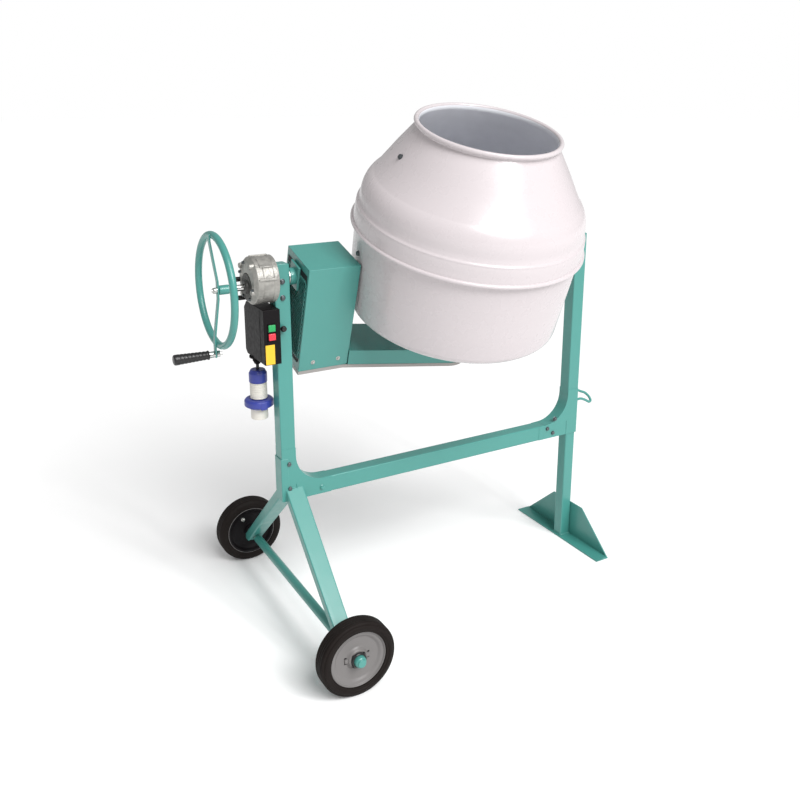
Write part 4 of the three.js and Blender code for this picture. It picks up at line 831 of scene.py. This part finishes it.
# ---------------------------------------------------------------- tilt gear
class MIXER_OT_tilt_gear(MixerOperator):
    """Makes the cast gear housing with its pads and bosses"""
    bl_idname = "mixer.tilt_gear"
    bl_label = "Tilt gear"

    def execute(self, context):
        axis = Matrix.Translation((0, 0, TILT_Z)) @ ALONG_X
        pinion = Matrix.Translation((0, 0, PINION_Z)) @ ALONG_X
        x0, x1 = -461.3, -397.3  # the housing's outer and inner faces
        wall = [(20, x0), (50, x0), (51.5, x0 + 1.5), (57, x0 + 7), (59, x0 + 9), (59, x0 + 24), (57.8, x0 + 25),
                (57.8, x0 + 50), (59, x0 + 51), (59, x1), (54, x1), (54, x0 + 8), (20, x0 + 8)]
        dress(turned("gear_housing_bell", eased(wall, 1.6), axis, 96), "aluminium", "frame", "cast_aluminium",
              "gear_housing")
        disc = [(8.4, x0 - 8), (15.5, x0 - 8), (17, x0 - 6.5), (18.5, x0 - 1.5), (34, x0 - 1.2), (35, x0), (35, x0 + 3),
                (8.4, x0 + 3)]
        # Painted shade: the housing's outer face takes the darker copy of the aluminium.
        dress(turned("gear_housing_face", eased(disc, 1.0), pinion, 72), "aluminium_painted_shade", "frame", "cast_aluminium")
        for name, turn, low, high in (("gear_housing_pad", 35, (x0 + 18, -16, 53), (x0 + 52, 16, 60)),
                                      ("gear_housing_rib_1", 80, (x0 + 12, -3, 54), (x1 - 6, 3, 61.5)),
                                      ("gear_housing_rib_2", -10, (x0 + 12, -3, 54), (x1 - 6, 3, 61.5)),
                                      ("gear_housing_rib_3", -60, (x0 + 12, -3, 54), (x1 - 6, 3, 61.5))):
            place = Matrix.Translation((0, 0, TILT_Z)) @ Matrix.Rotation(math.radians(turn), 4, "X")
            dress(block(name, low, high, 1.6, place), "aluminium", "frame", "cast_aluminium")
        for number, (y, z, length) in enumerate(((-30, 40, 5), (38, 32, 5), (-40, -22, 5), (30, -36, 5)), 1):
            boss = [(0, x0 - length), (5.5, x0 - length), (7, x0 - length + 1.5), (7.8, x0 + 8), (0, x0 + 8)]
            place = Matrix.Translation((0, y, TILT_Z + z)) @ ALONG_X
            dress(turned(f"gear_housing_boss_{number}", eased(boss, 0.8), place, 32), "aluminium", "frame",
                  "cast_aluminium")
        for number, (y, z) in enumerate(((52, -5), (42, -50)), 1):
            stud = [(0, -472), (4.6, -472), (6.2, -470), (6.2, -452), (0, -452)]
            place = Matrix.Translation((0, y, TILT_Z + z)) @ ALONG_X
            dress(turned(f"gear_housing_stud_{number}", eased(stud, 0.8), place, 32), "grip", "frame", "steel")
        recoat("zinc", "ring_gear", "tilt_shaft", "trunnion_pin")
        return {"FINISHED"}


# ---------------------------------------------------------------- handwheel
class MIXER_OT_handwheel(MixerOperator):
    """Makes the handwheel, its hub and the crank grip"""
    bl_idname = "mixer.handwheel"
    bl_label = "Handwheel"

    def execute(self, context):
        axis = Matrix.Translation((0, 0, PINION_Z)) @ ALONG_X
        section = [(133.5 + 8.9 * math.cos(2 * math.pi * k / 20), -539 + 8.9 * math.sin(2 * math.pi * k / 20))
                   for k in range(20)]
        painted(turned("handwheel_rim", section, axis, 120), "handwheel", "handwheel")
        outer, inner = -550.5, -536.5
        line = [(outer, 137), (outer, 119.5), (inner, 22), (inner, -22), (outer, -119.5), (outer, -165)]
        width, thick = 14, 4
        rows = []
        for x, z in line:
            rows += [(x, -width / 2, z), (x, width / 2, z), (x + thick, width / 2, z), (x + thick, -width / 2, z)]
        faces = [(0, 1, 2, 3), tuple(len(rows) - 4 + k for k in (3, 2, 1, 0))]
        for k in range(len(line) - 1):
            base = 4 * k
            faces += [(base + a, base + b, base + b + 4, base + a + 4) for a, b in ((1, 0), (2, 1), (3, 2), (0, 3))]
        spoke = mesh_piece("handwheel_spoke", rows, faces, Matrix.Translation((0, 0, PINION_Z)))
        painted(rounded(spoke, 0.9, 2), "handwheel")
        for number, z in enumerate((133, -133), 1):
            bead = [(-545.2, -7, PINION_Z + z), (-545.2, 7, PINION_Z + z)]
            painted(grown(f"handwheel_weld_{number}", TREES["weld"], bead, [(0, 1)], {
                "Bead Radius": 2.2 * MM, "Ripple": 2 * MM}, "paint"), "handwheel")
        hub = [(4.6, -532.2), (10.5, -532.2), (11.5, -531), (11.5, -508), (10.5, -506.2), (8.4, -506.2), (8.4, -527),
               (4.6, -527)]
        painted(turned("handwheel_hub_sleeve", eased(hub, 0.8), axis, 48), "handwheel",
                "handwheel_hub")
        grip_axis = Matrix.Translation((0, 0, GRIP_Z)) @ ALONG_X
        grip = [(0, -652), (9.5, -652), (12.2, -650.4), (13, -648), (13, -646)]
        for k in range(8):
            x = -643 + 9 * k
            taper = 13 - 0.32 * k
            grip += [(taper, x), (taper, x + 5.2), (taper - 0.8, x + 6.2), (taper - 0.8, x + 7.6)]
        grip += [(10.6, -569), (11.6, -568), (11.6, -566), (10, -565), (4.5, -565), (4.5, -647), (0, -647)]
        dress(turned("crank_grip_moulding", eased(grip, 0.7, 2), grip_axis, 64), "grip", "crank_grip", "black_plastic",
              "crank_grip")
        recoat("chrome", "grip_bolt", "pinion_shaft")
        return {"FINISHED"}


# ---------------------------------------------------------------- switch box
class MIXER_OT_switch_box(MixerOperator):
    """Makes the switch box with its buttons, blank label and the locking knob"""
    bl_idname = "mixer.switch_box"
    bl_label = "Switch box"

    def execute(self, context):
        dress(softened("switch_box_shell", "switch_box", 2.6, shortest=12), "abs", "frame", "black_plastic",
              "switch_box")
        for label, node, z, material in (("start", "start_button", 842, "green"), ("stop", "stop_button", 820, "red")):
            dress(block(f"{label}_button_cap", (-429, -52, z - 8.5), (-411, -40, z + 8.5), 1.6), material,
                  f"{label}_button", f"{material}_plastic", node)
            edge = 1.6
            frame_low, frame_high = (-431.2, -50, z - 10.6), (-408.8, -48.1, z + 10.6)
            for number, (low, high) in enumerate((
                    (frame_low, (frame_high[0], frame_high[1], frame_low[2] + edge)),
                    ((frame_low[0], frame_low[1], frame_high[2] - edge), frame_high),
                    (frame_low, (frame_low[0] + edge, frame_high[1], frame_high[2])),
                    ((frame_high[0] - edge, frame_low[1], frame_low[2]), frame_high)), 1):
                dress(block(f"{label}_bezel_{number}", low, high, 0.4, segments=2), "abs", "frame", "black_plastic")
        dress(block("switch_box_label", (-438, -48.9, 750), (-414, -48.1, 800), 0.3, segments=2), "label", "frame",
              "black_plastic")
        dress(block("switch_box_seam", (-440.6, -20, 752), (-440.1, -18.6, 884), 0.2, segments=1), "dark", "frame",
              "black_plastic")
        knob = [(0, -20.3), (4, -20.3), (4, -25), (7.4, -27), (8, -29), (7.2, -34), (5.6, -36.3), (0, -36.3)]
        place = Matrix.Translation((-382, 0, 831)) @ ALONG_Y
        dress(turned("lock_knob_head", eased(knob, 0.8), place, 40), "grip", "lock_knob", "black_plastic", "lock_knob")
        return {"FINISHED"}


# ---------------------------------------------------------------- yoke
class MIXER_OT_yoke(MixerOperator):
    """Makes the motor box, the belt casing, its cover, the arm and the bracket"""
    bl_idname = "mixer.yoke"
    bl_label = "Yoke and motor box"

    def execute(self, context):
        fold = self.sizes.sheet_fold / MM
        painted(softened("motor_box_shell", "motor_box", fold, shortest=60), "yoke", "motor_box")
        painted(softened("yoke_casing_shell", "yoke_casing", 1.2, shortest=5), "yoke",
                "yoke_casing")
        dress(softened("bottom_cover_pan", "bottom_cover", 1.2, shortest=5), "cover", "yoke", "cover_grey",
              "bottom_cover")
        painted(block("tilt_bracket_plate", (-338.4, -25, -30), (-332.2, 25, 34), 1.4, YOKE), "yoke", "tilt_bracket")
        boss = [(12.8, -353.2), (20.4, -353.2), (21.4, -352), (21.4, -338.2), (12.8, -338.2)]
        painted(turned("tilt_bracket_boss", eased(boss, 0.8), YOKE @ ALONG_X, 48), "yoke")
        painted(softened("yoke_arm_tube", "yoke_arm", 1.4, shortest=3), "yoke", "yoke_arm")
        pitch, strand = self.sizes.vent_pitch, self.sizes.vent_strand
        short = pitch * 0.62
        columns, rows = int(0.118 / short), int(0.226 / pitch)
        # Painted shade: a near-black panel behind the vent mesh stands for the shade inside the box.
        dress(block("vent_shade", (-330.9, -61, -222), (-330.2, 59, 30), 0.3, YOKE, 1), "dark", "yoke", "frame_paint")
        wall = YOKE @ Matrix.Translation((-331.6, -5, -102)) @ Matrix.Rotation(math.radians(90), 4, "Z")
        wall = wall @ Matrix.Rotation(math.radians(90), 4, "X")
        painted(grown("vent_mesh", TREES["vent"], [(0, 0, 0)], [], {
            "Width": short * (columns - 1), "Height": pitch * (rows - 1), "Long Way": pitch, "Short Way": short,
            "Columns": columns, "Rows": rows, "Strand": strand}, "paint", wall), "yoke",
            "vent_panel")
        recoat("zinc", "motor_plate")
        return {"FINISHED"}


# ---------------------------------------------------------------- drum
class MIXER_OT_drum(MixerOperator):
    """Makes the drum's two shells, its rolled edges and the mixing blades"""
    bl_idname = "mixer.drum"
    bl_label = "Drum"

    def execute(self, context):
        segments = self.sizes.drum_segments
        bowl = [(0.0, -132.0), (60, -132), (88, -131.4), (140, -131.8)]
        for k in range(11):
            angle = k / 10 * math.pi / 2
            bowl.append((284 - 112 + 112 * math.sin(angle), -132 + 42 - 42 * math.cos(angle)))
        bowl += [(287.5, -20), (291, 50), (294, 121), (294, 164)]
        inside = [(max(0.0, radius - SHEET) if along > -110 else radius, along + (SHEET if along < -95 else 0))
                  for radius, along in bowl]
        outline = bowl + inside[::-1]
        dress(turned("drum_bowl_shell", outline, DRUM, segments, 40, (len(bowl), 2 * len(bowl))),
              ("drum", "drum_inside"), "drum", "drum_paint", "drum_bowl")

        cone = [(300.5, 130.5), (300, 134), (299.2, 150), (298.2, 164), (297.4, 168), (296.9, 170.5), (297.3, 172.4),
                (296.4, 174.2), (294.0, 176), (291.6, 180), (290.2, 192)]
        for k in range(13):
            share = k / 12
            radius = 289.5 * (1 - share) ** 2 + 285.5 * 2 * share * (1 - share) + 262 * share ** 2
            along = 202 * (1 - share) ** 2 + 236 * 2 * share * (1 - share) + 256 * share ** 2
            cone.append((radius, along))
        cone += [(222, 320), (177.5, 385)]
        lip = [(305.2, 122), (306.5, 124), (306.4, 127), (304.8, 129.2), (302.5, 130.2)]
        bead = []
        for k in range(15):
            angle = -1.9 + k / 14 * 4.9
            bead.append((180 + 6 * math.cos(angle), 396 + 6 * math.sin(angle)))
        skin = [(radius - SHEET, along - 0.5) for radius, along in cone[-13 - 2:]][::-1]
        inner = [(172.4, 391)] + skin + [(287.5, 190), (288.8, 178), (294.4, 172), (294.4, 122)]
        outer = lip + cone + bead
        dress(turned("drum_cone_shell", outer + inner, DRUM, segments, 40,
                     (len(outer) - 1, len(outer) + len(inner) - 2)),
              ("drum", "drum_inside"), "drum", "drum_paint", "drum_cone")
        for number in (1, 2):
            node = f"mixing_blade_{number}"
            dress(softened(f"mixing_blade_plate_{number}", node, 1.2, shortest=12), "drum_inside", "drum", "drum_paint",
                  node)
        return {"FINISHED"}


# ---------------------------------------------------------------- drive
class MIXER_OT_drive(MixerOperator):
    """Gives the motor, belt, shafts and gears their finishes"""
    bl_idname = "mixer.drive"
    bl_label = "Drive"

    def execute(self, context):
        recoat("aluminium", "motor_stator", "spindle_housing")
        recoat("zinc", "motor_pulley", "layshaft", "drum_gear", "drum_spindle")
        recoat("belt", "drive_belt")
        return {"FINISHED"}


# ---------------------------------------------------------------- fasteners
class MIXER_OT_fasteners(MixerOperator):
    """Makes the bolts and screws of each body"""
    bl_idname = "mixer.fasteners"
    bl_label = "Fasteners"

    def execute(self, context):
        head = self.sizes.bolt_head / MM
        front = (0, -1, 0)
        left_out = (-1, 0, 0)
        stand = [((-377, -20, z), front) for z in (948, 907, 463, 394)]
        stand += [((499, -20, 374), front), ((477, -20, 392), front), ((574, -20, 965), front),
                  ((505, -20.5, 419), front)]
        self.place("frame_bolts", stand, head, 4, 6, head + 1.6, 1.2, "bolt", "frame", Matrix(), "steel")
        self.place("beam_bolt", [((-285, -21, 376), front)], head, 3, 6, head + 1.6, 1.2, "paint", "frame", Matrix(),
                   "steel")
        ring = [((-461.3, 46 * math.cos(a), TILT_Z + 46 * math.sin(a)), left_out)
                for a in (math.radians(d) for d in (20, 70, 125, 200, 245, 300))]
        self.place("gear_housing_screws", ring, 3.6, 3, 6, 4.8, 1, "bolt", "frame", Matrix(), "steel")
        box_screws = [((x, y, -224), axis) for y, axis in ((-69, front), (67, (0, 1, 0))) for x in (-291, -219)]
        self.place("motor_box_screws", box_screws, 4.0, 2.6, 6, 6.0, 0.8, "zinc", "yoke", YOKE, "steel")
        drum_bolts = []
        for turn in (math.radians(172), math.radians(-8)):
            for radius, along, rise in ((220.2, 322, 0.57), (291.8, 66, 0.03)):
                out = (math.cos(turn) * math.cos(rise), math.sin(turn) * math.cos(rise), math.sin(rise))
                drum_bolts.append(((radius * math.cos(turn), radius * math.sin(turn), along), out))
        self.place("drum_bolts", drum_bolts, 6.2, 4.0, 6, 8.0, 1.2, "bolt", "drum", DRUM, "steel")
        self.place("handwheel_nut", [((-540.2, 0, PINION_Z), left_out)], 7, 5, 6, 8, 1.0, "zinc", "handwheel",
                   Matrix(), "chrome")
        return {"FINISHED"}

    def place(self, name, spots, head, height, sides, washer, thickness, material, body, place, slot):
        """One body's fasteners of one kind, set out from their points and axes in the place's axes."""
        piece = grown(name, TREES["fastener"], [spot for spot, _ in spots], [], {
            "Head Radius": head * MM, "Head Height": height * MM, "Sides": sides, "Washer Radius": washer * MM,
            "Washer Height": thickness * MM}, material, place, [axis for _, axis in spots])
        dress(piece, material, body, slot)


class MIXER_PT_build(bpy.types.Panel):
    """Lists the mixer's operators, sizes and colours"""
    bl_idname = "MIXER_PT_build"
    bl_label = "Concrete Mixer"
    bl_space_type = "VIEW_3D"
    bl_region_type = "UI"
    bl_category = "Mixer"

    def draw(self, context):
        layout = self.layout
        for operator in OPERATORS:
            layout.operator(operator.bl_idname)
        for group in (context.scene.mixer_sizes, context.scene.mixer_colours):
            column = layout.column(align=True)
            for name in type(group).__annotations__:
                column.prop(group, name)


OPERATORS = (MIXER_OT_stage, MIXER_OT_lead, MIXER_OT_stand, MIXER_OT_wheels, MIXER_OT_tilt_gear, MIXER_OT_handwheel,
             MIXER_OT_switch_box, MIXER_OT_yoke, MIXER_OT_drum, MIXER_OT_drive, MIXER_OT_fasteners)
CLASSES = (MixerSizes, MixerColours, *OPERATORS, MIXER_PT_build)


def register():
    for entry in CLASSES:
        bpy.utils.register_class(entry)
    bpy.types.Scene.mixer_sizes = PointerProperty(type=MixerSizes)
    bpy.types.Scene.mixer_colours = PointerProperty(type=MixerColours)


def unregister():
    del bpy.types.Scene.mixer_colours
    del bpy.types.Scene.mixer_sizes
    for entry in reversed(CLASSES):
        bpy.utils.unregister_class(entry)


def main():
    register()
    for operator in OPERATORS:
        group, name = operator.bl_idname.split(".")
        getattr(getattr(bpy.ops, group), name)()


if __name__ == "__main__":
    main()
